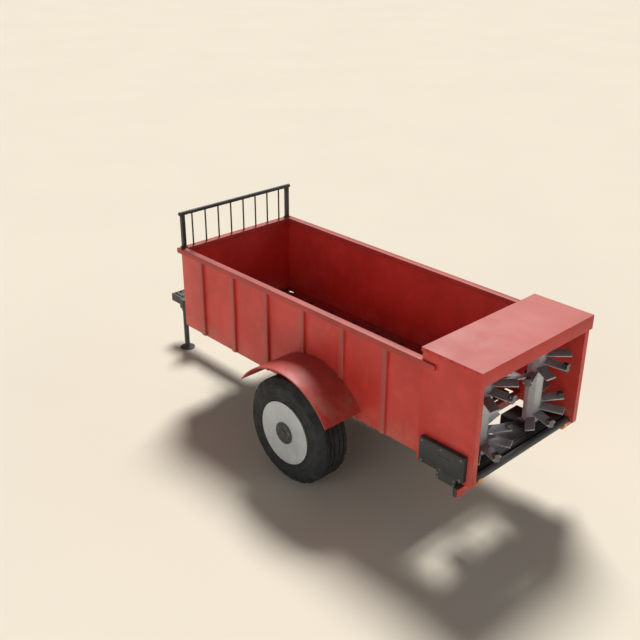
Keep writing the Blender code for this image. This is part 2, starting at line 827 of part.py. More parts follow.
# ------------------------------------------------------------------ the machine
def build():
    for obj in list(bpy.data.objects):
        bpy.data.objects.remove(obj, do_unlink=True)

    red = material("red_paint", RED, 0.42)
    red_rail = material("red_rail_paint", RED_DARK, 0.42)
    red_fender = material("red_fender_paint", RED, 0.40)
    grey = material("dark_grey_paint", GREY, 0.45)
    steel = material("beater_steel", STEEL, 0.45, 0.6)
    rubber = material("tyre_rubber", BLACK, 0.85)
    pale = material("rim_paint", PALE, 0.45)
    bare = material("worn_floor_steel", (0.22, 0.22, 0.22), 0.5, 0.7)
    lamp_red = material("lamp_red", (0.75, 0.05, 0.03), 0.25)
    amber = material("marker_amber", (0.90, 0.36, 0.04), 0.25)

    both("side_wall", side_wall, red)
    solid("front_wall", front_wall(), red)
    solid("top_rail", rail(), red_rail)
    solid("floor_plate", floor_plate(), red)
    solid("front_guard", front_guard(), grey, smooth=35)

    both("housing_side", housing_side, red)
    solid("hood", hood(), red)
    for y, side in ((BEAT_Y, "left"), (-BEAT_Y, "right")):
        shapes, cuts = beater(y)
        solid("beater_" + side, shapes, steel, cut=cuts, origin=(BEAT_X, y, SHAFT_Z[0]))
    shapes, cuts = beater_bed()
    solid("beater_bed", shapes, grey, cut=cuts)
    shapes, cuts = beater_gears()
    solid("beater_gearbox", shapes, grey, cut=cuts, smooth=35)
    half = HSG_Y[0] - GAP
    z0, z1 = TOPBEAM_Z
    channel = [
        (BEAT_X - 0.060, z0),
        (BEAT_X + 0.060, z0),
        (BEAT_X + 0.060, z1),
        (BEAT_X + 0.052, z1),
        (BEAT_X + 0.052, z0 + 0.008),
        (BEAT_X - 0.052, z0 + 0.008),
        (BEAT_X - 0.052, z1),
        (BEAT_X - 0.060, z1),
    ]
    solid("beater_top_beam", [prism(channel, "y", -half, half)], grey)
    solid(
        "rear_cross_tube",
        [rod("y", (TUBE_X, TUBE_Z), TUBE_R, -half, half, 20)],
        grey,
        cut=[rod("y", (TUBE_X, TUBE_Z), TUBE_R - 0.005, -half - 0.01, half + 0.01, 20)],
        smooth=35,
    )
    both("side_marker", side_marker, amber)

    # drive on the left side of the housing
    y0 = HSG_Y[1] + GAP
    x0, x1 = CASE_X
    z0, z1 = CASE_Z
    cover = box((x0, y0, z0), (x1, CASE_Y, z1))
    core = box((x0 + 0.004, y0 - 0.01, z0 + 0.004), (x1 - 0.004, CASE_Y - 0.004, z1 - 0.004))
    solid("drive_case", [cover], grey, cut=[core])
    solid("drive_motor", [box((-2.625, y0, 0.7520), (-2.402, 0.862, 0.8397))], grey, bevel=0.004)

    both(
        "tail_lamp_housing",
        lambda: ([box((-2.672, HSG_Y[0] + GAP, 0.700), (-2.632, 0.905, HSG_Z0 - GAP))], []),
        grey,
    )
    both(
        "tail_lamp_lens",
        lambda: ([box((-2.687, 0.754, 0.706), (-2.6723, 0.899, 0.787))], []),
        lamp_red,
    )

    both("tyre", tyre, rubber, smooth=30, origin=(AXLE_X, 0.995, AXLE_Z))
    both("wheel_rim", rim, pale, smooth=30, origin=(AXLE_X, 0.995, AXLE_Z))
    both("wheel_hub", hub, grey, smooth=30, origin=(AXLE_X, 0.995, AXLE_Z))
    both("fender", fender, red_fender, smooth=40)
    solid("axle", axle(), grey, smooth=35)
    both("axle_seat", axle_seat, grey)

    shapes, cuts = chassis()
    solid("chassis_frame", shapes, grey, cut=cuts)
    shapes, cuts = front_beam()
    solid("front_beam", shapes, grey, cut=cuts)
    shapes, cuts = drawbar()
    solid("drawbar", shapes, grey, cut=cuts)
    shapes, cuts = tow_block()
    solid("tow_block", shapes, grey, cut=cuts)
    shapes, cuts = jack_sleeve()
    solid("jack_sleeve", shapes, grey, cut=cuts, smooth=35)
    solid("jack_leg", jack_leg(), grey, smooth=35, origin=(JACK_X, JACK_Y, 0.0))

    both("conveyor", conveyor, bare)
    solid("conveyor_shaft_front", conveyor_shaft(CONV_X[1]), grey, smooth=35)
    solid("conveyor_shaft_rear", conveyor_shaft(CONV_X[0]), grey, smooth=35)
    solid(
        "drive_tube",
        [
            rod("x", (DRIVE_Y, DRIVE_Z), DRIVE_R, BEAT_X + 0.0803, 1.560, 16),
            rod("x", (DRIVE_Y, DRIVE_Z), 0.0175, 1.550, 1.640, 12),
        ],
        grey,
        cut=[rod("x", (DRIVE_Y, DRIVE_Z), DRIVE_R - 0.005, BEAT_X, 1.540, 16)],
        smooth=35,
    )


build()
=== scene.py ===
import json
import math
import random

import bmesh
import bpy
from mathutils import Matrix, Vector


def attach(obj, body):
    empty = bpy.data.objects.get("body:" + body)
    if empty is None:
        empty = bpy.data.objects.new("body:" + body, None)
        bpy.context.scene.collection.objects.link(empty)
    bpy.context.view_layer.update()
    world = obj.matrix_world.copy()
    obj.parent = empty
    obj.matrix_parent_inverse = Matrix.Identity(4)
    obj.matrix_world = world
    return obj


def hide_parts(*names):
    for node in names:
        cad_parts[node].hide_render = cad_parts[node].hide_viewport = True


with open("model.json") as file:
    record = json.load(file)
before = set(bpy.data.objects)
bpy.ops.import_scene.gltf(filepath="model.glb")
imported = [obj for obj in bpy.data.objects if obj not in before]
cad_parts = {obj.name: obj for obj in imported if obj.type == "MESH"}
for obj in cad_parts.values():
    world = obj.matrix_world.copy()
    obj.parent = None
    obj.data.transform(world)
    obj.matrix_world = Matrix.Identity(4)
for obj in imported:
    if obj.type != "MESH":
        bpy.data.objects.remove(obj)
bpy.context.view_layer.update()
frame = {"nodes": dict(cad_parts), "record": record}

RNG = random.Random(41)
NODES = frame["nodes"]

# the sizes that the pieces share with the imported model, in metres
WALL_Y, WALL_T, BOX_X0, BOX_X1, WALL_Z0 = 0.800, 0.005, -2.1350, 1.4460, 0.858
RAIL_TOP, RAIL_H, RAIL_OUT, RAIL_W, RAIL_REAR = 1.816, 0.055, 0.034, 0.080, -2.2880
RIB_X, RIB_STEP, RIB_N, RIB_W, RIB_D, RIB_Z0 = 1.0310, -0.5540, 6, 0.070, 0.032, 0.872
HOOD_X0, HOOD_X1, HOOD_Y, HOOD_Z, HOOD_EDGE, HOOD_LIP_Z = -2.7792, -2.1272, 0.8233, 1.9367, 0.040, 1.7946
HSG_X0, HSG_Z0, HSG_Y = -2.7580, 0.7935, (0.7487, 0.8118)
BEAT_X, BEAT_Y, BEAT_R, SHAFT_R = -2.4960, 0.4105, 0.305, 0.082
PAD_N, PAD_TOP_Z, PAD_TOP_DEG, PAD_STEP_DEG, PAD_STEP_Z = 16, 1.743, 342.2, -38.6, -0.0544
PAD_W, PAD_T, PAD_PITCH = 0.090, 0.014, 16.0
TIP_R, TIP_W, TIP_H = (0.256, 0.307), 0.052, 0.076
BED_X, BED_TOP, TOPBEAM_Z = (-2.6620, -2.4050), 0.860, 1.800
GUARD_X, GUARD_POST_Y, GUARD_Z, GUARD_TUBE_R, GUARD_BAR_R = 1.4391, 0.7626, 2.2108, 0.022, 0.009
GUARD_BARS, GUARD_BAR_STEP = 8, 0.1812
AXLE_X, AXLE_Z, TYRE_R = -0.7314, 0.565, 0.565
FENDER_C, FENDER_R, FENDER_T, FENDER_Y, FENDER_DEG = (-0.7829, 0.5504), 0.752, 0.005, 1.268, (34.5, 147.2)
CONV_X, CONV_Z, CONV_R, CHAIN_T = (-2.005, 1.300), 0.830, 0.054, 0.016
CONV_SPAN, CHAIN_Y, SLAT_STEP = (0.050, 0.660), (0.110, 0.610), 0.370
JACK_X, JACK_Y, JACK_R = 2.372, 0.189, 0.032


# ---------------------------------------------------------------- node helpers
class Look:
    """A small helper that builds one material from nodes."""

    def __init__(self, name):
        self.mat = bpy.data.materials.new(name)
        self.mat.use_nodes = True
        self.tree = self.mat.node_tree
        self.shader = self.tree.nodes["Principled BSDF"]
        self.at = self.node("ShaderNodeTexCoord").outputs["Object"]

    def node(self, kind, **settings):
        made = self.tree.nodes.new(kind)
        for key, value in settings.items():
            setattr(made, key, value)
        return made

    def join(self, source, socket):
        self.tree.links.new(source, socket)

    def put(self, socket, value):
        if isinstance(value, bpy.types.NodeSocket):
            self.join(value, socket)
        elif isinstance(value, tuple) and len(value) == 3 and socket.type == "RGBA":
            socket.default_value = (*value, 1.0)
        else:
            socket.default_value = value

    def scaled(self, scale, turn=(0.0, 0.0, 0.0)):
        made = self.node("ShaderNodeMapping")
        self.join(self.at, made.inputs["Vector"])
        made.inputs["Scale"].default_value = scale if isinstance(scale, tuple) else (scale,) * 3
        made.inputs["Rotation"].default_value = turn
        return made.outputs["Vector"]

    def noise(self, scale, detail=4.0, rough=0.55, stretch=(1.0, 1.0, 1.0), distort=0.0):
        made = self.node("ShaderNodeTexNoise")
        self.join(self.scaled(stretch), made.inputs["Vector"])
        made.inputs["Scale"].default_value = scale
        made.inputs["Detail"].default_value = detail
        made.inputs["Roughness"].default_value = rough
        made.inputs["Distortion"].default_value = distort
        return made.outputs["Fac"]

    def cells(self, scale, stretch=(1.0, 1.0, 1.0), feature="F1"):
        made = self.node("ShaderNodeTexVoronoi", feature=feature)
        self.join(self.scaled(stretch), made.inputs["Vector"])
        made.inputs["Scale"].default_value = scale
        return made.outputs["Distance"]

    def remap(self, value, low, high, to_low=0.0, to_high=1.0):
        made = self.node("ShaderNodeMapRange", interpolation_type="SMOOTHSTEP")
        self.put(made.inputs["Value"], value)
        for key, number in zip(("From Min", "From Max", "To Min", "To Max"), (low, high, to_low, to_high)):
            made.inputs[key].default_value = number
        return made.outputs["Result"]

    def math(self, operation, a, b=None, clamp=False):
        made = self.node("ShaderNodeMath", operation=operation, use_clamp=clamp)
        self.put(made.inputs[0], a)
        if b is not None:
            self.put(made.inputs[1], b)
        return made.outputs[0]

    def mix(self, factor, a, b):
        made = self.node("ShaderNodeMix", data_type="RGBA")
        self.put(made.inputs[0], factor)
        self.put(made.inputs[6], a)
        self.put(made.inputs[7], b)
        return made.outputs[2]

    def axis(self, name):
        made = self.node("ShaderNodeSeparateXYZ")
        self.join(self.at, made.inputs[0])
        return made.outputs[name]

    def facing_up(self):
        geo = self.node("ShaderNodeNewGeometry")
        made = self.node("ShaderNodeSeparateXYZ")
        self.join(geo.outputs["Normal"], made.inputs[0])
        return made.outputs["Z"]

    def edges(self, radius):
        """1 near sharp edges, 0 on flats."""
        bevel = self.node("ShaderNodeBevel", samples=4)
        bevel.inputs["Radius"].default_value = radius
        geo = self.node("ShaderNodeNewGeometry")
        dot = self.node("ShaderNodeVectorMath", operation="DOT_PRODUCT")
        self.join(bevel.outputs["Normal"], dot.inputs[0])
        self.join(geo.outputs["Normal"], dot.inputs[1])
        return self.remap(dot.outputs["Value"], 0.995, 0.90, 0.0, 1.0)

    def bump(self, *layers):
        """Each layer is (height, strength, distance)."""
        last = None
        for height, strength, distance in layers:
            made = self.node("ShaderNodeBump")
            made.inputs["Strength"].default_value = strength
            made.inputs["Distance"].default_value = distance
            self.put(made.inputs["Height"], height)
            if last is not None:
                self.join(last, made.inputs["Normal"])
            last = made.outputs["Normal"]
        self.join(last, self.shader.inputs["Normal"])

    def finish(self, colour, roughness, metallic=0.0, **more):
        self.put(self.shader.inputs["Base Color"], colour)
        self.put(self.shader.inputs["Roughness"], roughness)
        self.put(self.shader.inputs["Metallic"], metallic)
        for key, value in more.items():
            self.put(self.shader.inputs[key.replace("_", " ").title().replace("Ior", "IOR")], value)
        return self.mat


def painted(name, base, deep, dust=(0.36, 0.29, 0.21), low_dust=1.15, dust_most=0.45, wear=0.5, rough=0.40, streak=0.35, rib=False, painted_sheen=0.0):
    """Sprayed paint: tone variation, runs of dirt, dust low down and on top, worn edges with primer and steel."""
    k = Look(name)
    tone = k.remap(k.noise(1.3, 3.0), 0.35, 0.68)
    colour = k.mix(tone, deep, base)
    fade = k.remap(k.noise(7.0, 5.0), 0.42, 0.75, 0.0, 0.30)
    colour = k.mix(fade, colour, tuple(min(1.0, c * 1.25 + 0.015) for c in base))
    runs = k.noise(9.0, 5.0, 0.6, stretch=(1.0, 1.0, 0.10))
    runs = k.remap(runs, 0.54, 0.76, 0.0, streak)
    colour = k.mix(runs, colour, tuple(c * 0.62 + d * 0.10 for c, d in zip(base, dust)))
    if rib:
        # painted shade: the pressed ribs' outer faces are mixed greyer and darker than the sheet between them
        out = k.remap(k.math("ABSOLUTE", k.axis("Y")), WALL_Y + 0.012, WALL_Y + 0.020, 0.0, 0.55)
        colour = k.mix(out, colour, (0.390, 0.105, 0.090))
    if painted_sheen:
        # painted sheen: what faces the sky is mixed towards a pale pink, a painted reflection of the bright sky
        sheen_mask = k.math("MULTIPLY", k.remap(k.facing_up(), 0.30, 0.90), k.remap(k.noise(2.6, 5.0, 0.6), 0.25, 0.80, painted_sheen * 0.82, painted_sheen * 1.12))
        colour = k.mix(sheen_mask, colour, (0.600, 0.510, 0.450))
    # dust: thrown up low down, and lying on what faces up
    height = k.remap(k.axis("Z"), low_dust, low_dust - 0.42, 0.0, 1.0)
    clouds = k.remap(k.noise(5.5, 6.0, 0.62), 0.32, 0.72)
    spatter = k.remap(k.cells(70.0), 0.26, 0.12, 0.0, 1.0)
    spatter = k.math("MULTIPLY", spatter, k.remap(k.noise(6.0, 3.0), 0.50, 0.66))
    low = k.math("MULTIPLY", height, k.math("MAXIMUM", clouds, spatter), clamp=True)
    lying = k.math("MULTIPLY", k.remap(k.facing_up(), 0.55, 0.98), k.remap(k.noise(3.2, 6.0, 0.6), 0.25, 0.85, 0.40, 0.85))
    dirt = k.math("MULTIPLY", k.math("MAXIMUM", low, k.math("MULTIPLY", lying, 0.55)), dust_most, clamp=True)
    colour = k.mix(dirt, colour, dust)
    # edge wear and a few chips
    worn = k.math("MULTIPLY", k.edges(0.006), k.remap(k.noise(26.0, 6.0, 0.65), 0.50, 0.62), clamp=True)
    chips = k.math("MULTIPLY", k.remap(k.noise(38.0, 3.0, 0.7), 0.735, 0.765), k.remap(k.noise(2.1, 2.0), 0.52, 0.60))
    bare = k.math("MULTIPLY", k.math("MAXIMUM", worn, chips), wear, clamp=True)
    metal = k.mix(k.remap(k.noise(60.0, 3.0), 0.40, 0.62), (0.24, 0.22, 0.21), (0.17, 0.085, 0.045))
    colour = k.mix(bare, colour, metal)
    shine = k.remap(k.noise(4.0, 4.0), 0.3, 0.75, rough - 0.05, rough + 0.10)
    shine = k.math("ADD", shine, k.math("MULTIPLY", dirt, 0.45), clamp=True)
    shine = k.math("ADD", shine, k.math("MULTIPLY", bare, 0.15), clamp=True)
    k.bump(
        (k.noise(2.4, 2.0), 0.25, 0.006),
        (k.noise(260.0, 2.0), 0.10, 0.0006),
        (k.math("SUBTRACT", 1.0, bare), 0.30, 0.0008),
        (dirt, 0.25, 0.0015),
    )
    return k.finish(colour, shine, 0.0, specular_ior_level=0.42)


def bare_steel(name, base, dark, rust, brushed, rough=0.42, metallic=0.75, low_dust=None):
    """Worn steel: scuffed along one direction, with stains and light rust."""
    k = Look(name)
    grain = k.noise(34.0, 6.0, 0.7, stretch=brushed)
    colour = k.mix(k.remap(grain, 0.35, 0.66), dark, base)
    stain = k.remap(k.noise(4.2, 6.0, 0.62, distort=0.4), 0.45, 0.70, 0.0, 0.75)
    colour = k.mix(stain, colour, tuple(c * 0.60 for c in base))
    rusty = k.remap(k.noise(9.0, 8.0, 0.68), 0.56, 0.72, 0.0, 0.85)
    fine = k.remap(k.noise(85.0, 4.0), 0.42, 0.60)
    rusty = k.math("MULTIPLY", rusty, fine)
    colour = k.mix(rusty, colour, rust)
    bright = k.math("MULTIPLY", k.edges(0.005), k.remap(k.noise(20.0, 4.0), 0.38, 0.55), clamp=True)
    colour = k.mix(k.math("MULTIPLY", bright, 0.75), colour, (0.62, 0.63, 0.64))
    shine = k.remap(k.noise(14.0, 5.0, 0.6, stretch=brushed), 0.3, 0.7, rough - 0.10, rough + 0.16)
    shine = k.math("ADD", shine, k.math("MULTIPLY", rusty, 0.35), clamp=True)
    metal = k.math("SUBTRACT", metallic, k.math("MULTIPLY", rusty, metallic), clamp=True)
    k.bump(
        (grain, 0.12, 0.0008),
        (k.noise(3.5, 3.0), 0.20, 0.004),
        (rusty, 0.35, 0.0010),
    )
    return k.finish(colour, shine, metal)


def worn_floor(name):
    """Red sheet scoured to steel in lengthwise strokes, with mud in the hollows."""
    k = Look(name)
    paint = k.mix(k.remap(k.noise(3.0, 4.0), 0.35, 0.68), (0.430, 0.036, 0.028), (0.560, 0.050, 0.038))
    steel = k.mix(k.remap(k.noise(30.0, 5.0, 0.7, stretch=(0.15, 3.0, 3.0)), 0.35, 0.66), (0.140, 0.125, 0.108), (0.270, 0.255, 0.235))
    strokes = k.noise(9.0, 7.0, 0.66, stretch=(0.16, 1.6, 1.0))
    bare = k.math("MULTIPLY", k.remap(strokes, 0.50, 0.60), k.remap(k.noise(1.7, 3.0), 0.36, 0.62, 0.25, 1.0), clamp=True)
    colour = k.mix(bare, paint, steel)
    rusty = k.math("MULTIPLY", k.remap(k.noise(12.0, 7.0, 0.68), 0.54, 0.70, 0.0, 0.8), bare)
    colour = k.mix(rusty, colour, (0.180, 0.085, 0.042))
    mud = k.remap(k.noise(4.5, 7.0, 0.62), 0.55, 0.74, 0.0, 0.55)
    colour = k.mix(mud, colour, (0.170, 0.125, 0.082))
    shine = k.math("ADD", k.remap(k.noise(14.0, 4.0), 0.3, 0.7, 0.40, 0.55), k.math("MULTIPLY", mud, 0.5), clamp=True)
    k.bump((strokes, 0.15, 0.0010), (k.math("SUBTRACT", 1.0, bare), 0.30, 0.0008), (mud, 0.30, 0.0020))
    return k.finish(colour, shine, k.math("MULTIPLY", k.math("SUBTRACT", bare, rusty, True), 0.4))


def rubber(name):
    k = Look(name)
    colour = k.mix(k.remap(k.noise(6.0, 5.0), 0.35, 0.7), (0.023, 0.026, 0.0265), (0.038, 0.042, 0.043))
    dusty = k.remap(k.noise(11.0, 7.0, 0.65), 0.44, 0.74, 0.0, 0.32)
    colour = k.mix(dusty, colour, (0.082, 0.080, 0.073))
    scuff = k.remap(k.noise(38.0, 4.0, stretch=(1.0, 3.0, 1.0)), 0.58, 0.70, 0.0, 0.35)
    colour = k.mix(scuff, colour, (0.080, 0.076, 0.068))
    shine = k.remap(k.noise(15.0, 4.0), 0.3, 0.7, 0.66, 0.86)
    k.bump((k.noise(190.0, 3.0), 0.22, 0.0010), (k.noise(22.0, 4.0), 0.15, 0.0025))
    return k.finish(colour, shine, 0.0, specular_ior_level=0.35)


def plastic(name, base, dark, emission=None):
    k = Look(name)
    prisms = k.node("ShaderNodeTexWave", wave_type="BANDS", bands_direction="Z")
    k.join(k.scaled(1.0), prisms.inputs["Vector"])
    prisms.inputs["Scale"].default_value = 60.0
    ridges = prisms.outputs["Fac"]
    colour = k.mix(k.remap(ridges, 0.2, 0.8), dark, base)
    grime = k.remap(k.noise(26.0, 5.0), 0.52, 0.78, 0.0, 0.26)
    colour = k.mix(grime, colour, (0.20, 0.13, 0.08))
    shine = k.math("ADD", k.remap(k.noise(30.0, 3.0), 0.3, 0.7, 0.16, 0.30), k.math("MULTIPLY", grime, 0.4))
    k.bump((ridges, 0.30, 0.0015), (grime, 0.20, 0.0006))
    return k.finish(colour, shine, 0.0, coat_weight=0.35)


RED = painted("red_paint", (0.725, 0.060, 0.046), (0.615, 0.047, 0.036), dust=(0.40, 0.325, 0.245), wear=0.45)
# the side walls' paint carries the painted rib shade: rib faces greyer and darker than the sheet
WALL_RED = painted("red_wall_paint", (0.725, 0.060, 0.046), (0.615, 0.047, 0.036), dust=(0.40, 0.325, 0.245), wear=0.45, rib=True)
RAIL_RED = painted("red_rail_paint", (0.560, 0.058, 0.046), (0.450, 0.044, 0.036), dust=(0.40, 0.325, 0.245), wear=0.70)
FENDER_RED = painted("red_fender_paint", (0.600, 0.046, 0.036), (0.480, 0.034, 0.028), dust=(0.40, 0.325, 0.245), low_dust=1.45, wear=0.50)
GREY = painted(
    "dark_grey_paint", (0.050, 0.055, 0.058), (0.036, 0.040, 0.043),
    dust=(0.17, 0.155, 0.135), low_dust=0.95, dust_most=0.40, wear=0.75, rough=0.44, streak=0.25,
)
PALE = painted(
    "rim_paint", (0.62, 0.655, 0.670), (0.55, 0.583, 0.597),
    dust=(0.37, 0.350, 0.315), low_dust=0.80, dust_most=0.30, wear=0.6, rough=0.42, streak=0.25,
)
BEATER = bare_steel(
    "beater_steel", (0.740, 0.785, 0.825), (0.610, 0.655, 0.695), (0.400, 0.310, 0.250), (0.5, 0.5, 3.0), rough=0.50, metallic=0.08,
)
# the paddles' broad faces: a darker copy of the steel, painted shade from the hood above
PADDLE_SHADED = bare_steel(
    "paddle_steel_shaded", (0.370, 0.378, 0.395), (0.270, 0.277, 0.292), (0.200, 0.130, 0.090), (2.0, 2.0, 1.0), rough=0.52, metallic=0.12,
)
# the paddles' thin side and end faces: a lighter copy of the same steel, painted light
PADDLE_EDGE_LIT = bare_steel(
    "paddle_edge_steel_lit", (0.640, 0.645, 0.650), (0.480, 0.485, 0.490), (0.260, 0.170, 0.110), (1.0, 1.0, 1.0), rough=0.45, metallic=0.20,
)
TIP_FACE = bare_steel(
    "tip_face_steel", (0.240, 0.246, 0.255), (0.150, 0.155, 0.163), (0.150, 0.088, 0.055), (1.0, 1.0, 2.0), rough=0.50, metallic=0.20,
)
BLACKENED = painted(
    "black_bed_paint", (0.020, 0.021, 0.023), (0.013, 0.014, 0.015),
    dust=(0.085, 0.075, 0.060), low_dust=0.80, dust_most=0.22, wear=0.45, rough=0.62, streak=0.15,
)
TUBE_GREY = painted(
    "tube_grey_paint", (0.098, 0.101, 0.103), (0.074, 0.077, 0.079),
    dust=(0.20, 0.18, 0.155), low_dust=0.90, dust_most=0.30, wear=0.70, rough=0.50, streak=0.20,
)
KNIFE = bare_steel(
    "knife_steel", (0.090, 0.092, 0.096), (0.050, 0.052, 0.055), (0.110, 0.058, 0.034), (2.0, 2.0, 0.6), rough=0.46, metallic=0.5,
)
FLOOR = bare_steel(
    "worn_floor_steel", (0.215, 0.200, 0.180), (0.120, 0.105, 0.088), (0.165, 0.082, 0.040), (0.15, 3.0, 3.0), rough=0.50, metallic=0.45,
)
CHAIN = bare_steel(
    "chain_steel", (0.250, 0.240, 0.225), (0.100, 0.090, 0.078), (0.150, 0.070, 0.034), (1.5, 1.5, 1.5), rough=0.44, metallic=0.6,
)
BOLT = bare_steel(
    "bolt_steel", (0.300, 0.300, 0.300), (0.170, 0.165, 0.160), (0.180, 0.095, 0.050), (1.0, 1.0, 1.0), rough=0.40, metallic=0.7,
)
FLOOR_RED = worn_floor("worn_red_floor")
RUBBER = rubber("tyre_rubber")
# the hood's up-facing faces carry a painted sky reflection: a pale pink film over the red
HOOD_RED = painted(
    "red_hood_paint", (0.640, 0.052, 0.041), (0.585, 0.046, 0.036), dust=(0.52, 0.430, 0.350), dust_most=0.18, wear=0.45, rough=0.56, streak=0.22, painted_sheen=0.24,
)
LAMP_RED = plastic("lamp_red", (0.85, 0.050, 0.032), (0.68, 0.034, 0.022))
AMBER = plastic("marker_amber", (1.0, 0.460, 0.070), (0.90, 0.350, 0.045))

LOOKS = {
    "red_paint": RED, "red_rail_paint": RAIL_RED, "red_fender_paint": FENDER_RED, "dark_grey_paint": GREY,
    "beater_steel": BEATER, "tyre_rubber": RUBBER, "rim_paint": PALE, "worn_floor_steel": FLOOR,
    "lamp_red": LAMP_RED, "marker_amber": AMBER,
}
SLOT_OF = {s["node"]: s["material_slot"] for s in frame["record"]["subparts"]}
BODY_OF = {n: b for b, names in frame["record"]["behaviour"]["bodies"].items() for n in names}

OWN_LOOK = {
    "hood": HOOD_RED,
    "side_wall_left": WALL_RED, "side_wall_right": WALL_RED, "floor_plate": FLOOR_RED, "beater_bed": BLACKENED,
    "beater_gearbox": BLACKENED, "rear_cross_tube": TUBE_GREY,
}

for name, obj in NODES.items():
    look = OWN_LOOK.get(name, LOOKS[SLOT_OF[name]])
    if not obj.material_slots:
        obj.data.materials.append(look)
    for spot in obj.material_slots:
        spot.link = "OBJECT"
        spot.material = look


# ---------------------------------------------------------------- mesh helpers
def piece(name, bm, look, body, replaces=(), smooth=40):
    """A finished object from a bmesh, riding on a body."""
    mesh = bpy.data.meshes.new(name)
    bmesh.ops.remove_doubles(bm, verts=bm.verts, dist=1e-6)
    bm.to_mesh(mesh)
    bm.free()
    obj = bpy.data.objects.new(name, mesh)
    bpy.context.scene.collection.objects.link(obj)
    mesh.materials.append(look)
    if smooth is not None:
        mesh.shade_smooth()
        mesh.set_sharp_from_angle(angle=math.radians(smooth))
    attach(obj, body)
    if replaces:
        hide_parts(*replaces)
    return obj


def rounded(node, width=0.0025, segments=2, angle=30, look=None):
    """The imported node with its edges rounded, standing for the node."""
    bm = bmesh.new()
    bm.from_mesh(NODES[node].data)
    bmesh.ops.remove_doubles(bm, verts=bm.verts, dist=1e-5)
    bmesh.ops.dissolve_limit(bm, angle_limit=math.radians(1.0), verts=bm.verts, edges=bm.edges)
    mesh = bpy.data.meshes.new(node + "_shown")
    bm.to_mesh(mesh)
    bm.free()
    obj = bpy.data.objects.new(node + "_shown", mesh)
    bpy.context.scene.collection.objects.link(obj)
    mesh.materials.append(look or OWN_LOOK.get(node, LOOKS[SLOT_OF[node]]))
    mesh.shade_smooth()
    edge = obj.modifiers.new("edges", "BEVEL")
    edge.width = width
    edge.segments = segments
    edge.limit_method = "ANGLE"
    edge.angle_limit = math.radians(angle)
    edge.harden_normals = True
    edge.use_clamp_overlap = True
    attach(obj, BODY_OF[node])
    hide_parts(node)
    return obj


def frame_for(normal):
    """A turn that takes Z to the normal."""
    return Vector(normal).to_track_quat("Z", "Y").to_matrix().to_4x4()


def add_ring(bm, profile, place, count, start=0.0):
    """A closed or open profile of (radius, height) turned about Z, then placed. Radius 0 closes it."""
    rings = []
    for radius, height in profile:
        if radius <= 0.0:
            rings.append([bm.verts.new(place @ Vector((0.0, 0.0, height)))])
        else:
            rings.append([
                bm.verts.new(place @ Vector((
                    radius * math.cos(start + 2 * math.pi * i / count),
                    radius * math.sin(start + 2 * math.pi * i / count),
                    height,
                )))
                for i in range(count)
            ])
    for a, b in zip(rings, rings[1:]):
        for i in range(count):
            j = (i + 1) % count
            corners = []
            for v in (a[i % len(a)], a[j % len(a)], b[j % len(b)], b[i % len(b)]):
                if v not in corners:
                    corners.append(v)
            if len(corners) > 2:
                bm.faces.new(corners)


def add_bolt(bm, centre, normal, across=0.019, height=0.008, washer=True, turn=None):
    """Hexagon head with a chamfered top on a washer."""
    place = Matrix.Translation(centre) @ frame_for(normal)
    if turn is None:
        turn = RNG.uniform(0, math.pi / 3)
    r = across / math.sqrt(3)
    base = 0.0
    if washer:
        add_ring(bm, [(r * 1.35, -0.001), (r * 1.35, 0.0014), (r * 1.28, 0.0020), (0.0, 0.0020)], place, 16)
        base = 0.0018
    add_ring(bm, [(r, base - 0.001), (r, base + height * 0.82), (r * 0.86, base + height), (0.0, base + height)], place, 6, turn)


def add_dome(bm, centre, normal, radius=0.009, height=0.005):
    place = Matrix.Translation(centre) @ frame_for(normal)
    add_ring(bm, [(radius, -0.001), (radius, 0.0008), (radius * 0.86, height * 0.6), (radius * 0.5, height * 0.93), (0.0, height)], place, 12)


def add_bead(bm, start, end, radius=0.004, up=(0.0, 0.0, 1.0), pitch=0.009):
    """A rippled weld bead between two points."""
    start, end = Vector(start), Vector(end)
    along = (end - start)
    length = along.length
    along.normalize()
    side = along.cross(Vector(up))
    if side.length < 1e-3:
        side = along.cross(Vector((1.0, 0.0, 0.0)))
    side.normalize()
    out = side.cross(along)
    steps = max(4, int(length / pitch) * 2)
    rings = []
    for k in range(steps + 1):
        f = k / steps
        r = radius * (1.0 if k % 2 else 0.80) * RNG.uniform(0.90, 1.10)
        if k in (0, steps):
            r *= 0.55
        here = start + along * (length * f) + side * RNG.uniform(-0.06, 0.06) * radius
        rings.append([bm.verts.new(here + side * math.cos(a) * r + out * math.sin(a) * r) for a in (2 * math.pi * i / 6 for i in range(6))])
    for a, b in zip(rings, rings[1:]):
        for i in range(6):
            j = (i + 1) % 6
            bm.faces.new((a[i], a[j], b[j], b[i]))
    bm.faces.new(rings[0][::-1])
    bm.faces.new(rings[-1])


def add_box(bm, lo, hi, place=None, bevel=0.0, segments=2):
    made = bmesh.new()
    bmesh.ops.create_cube(made, size=1.0)
    size = [b - a for a, b in zip(lo, hi)]
    mid = [(a + b) / 2 for a, b in zip(lo, hi)]
    bmesh.ops.transform(made, matrix=Matrix.Translation(mid) @ Matrix.Diagonal((*size, 1.0)), verts=made.verts)
    if bevel:
        bmesh.ops.bevel(made, geom=list(made.edges), offset=bevel, segments=segments, profile=0.5, affect="EDGES")
    if place is not None:
        bmesh.ops.transform(made, matrix=place, verts=made.verts)
    spare = bpy.data.meshes.new("spare")
    made.to_mesh(spare)
    made.free()
    bm.from_mesh(spare)
    bpy.data.meshes.remove(spare)


def add_tube(bm, start, end, radius, count=24, cap=0.0):
    """A round bar with slightly rounded ends."""
    start, end = Vector(start), Vector(end)
    length = (end - start).length
    place = Matrix.Translation(start) @ frame_for(end - start)
    c = cap or radius * 0.12
    add_ring(bm, [(0.0, 0.0), (radius - c, 0.0), (radius, c), (radius, length - c), (radius - c, length), (0.0, length)], place, count)


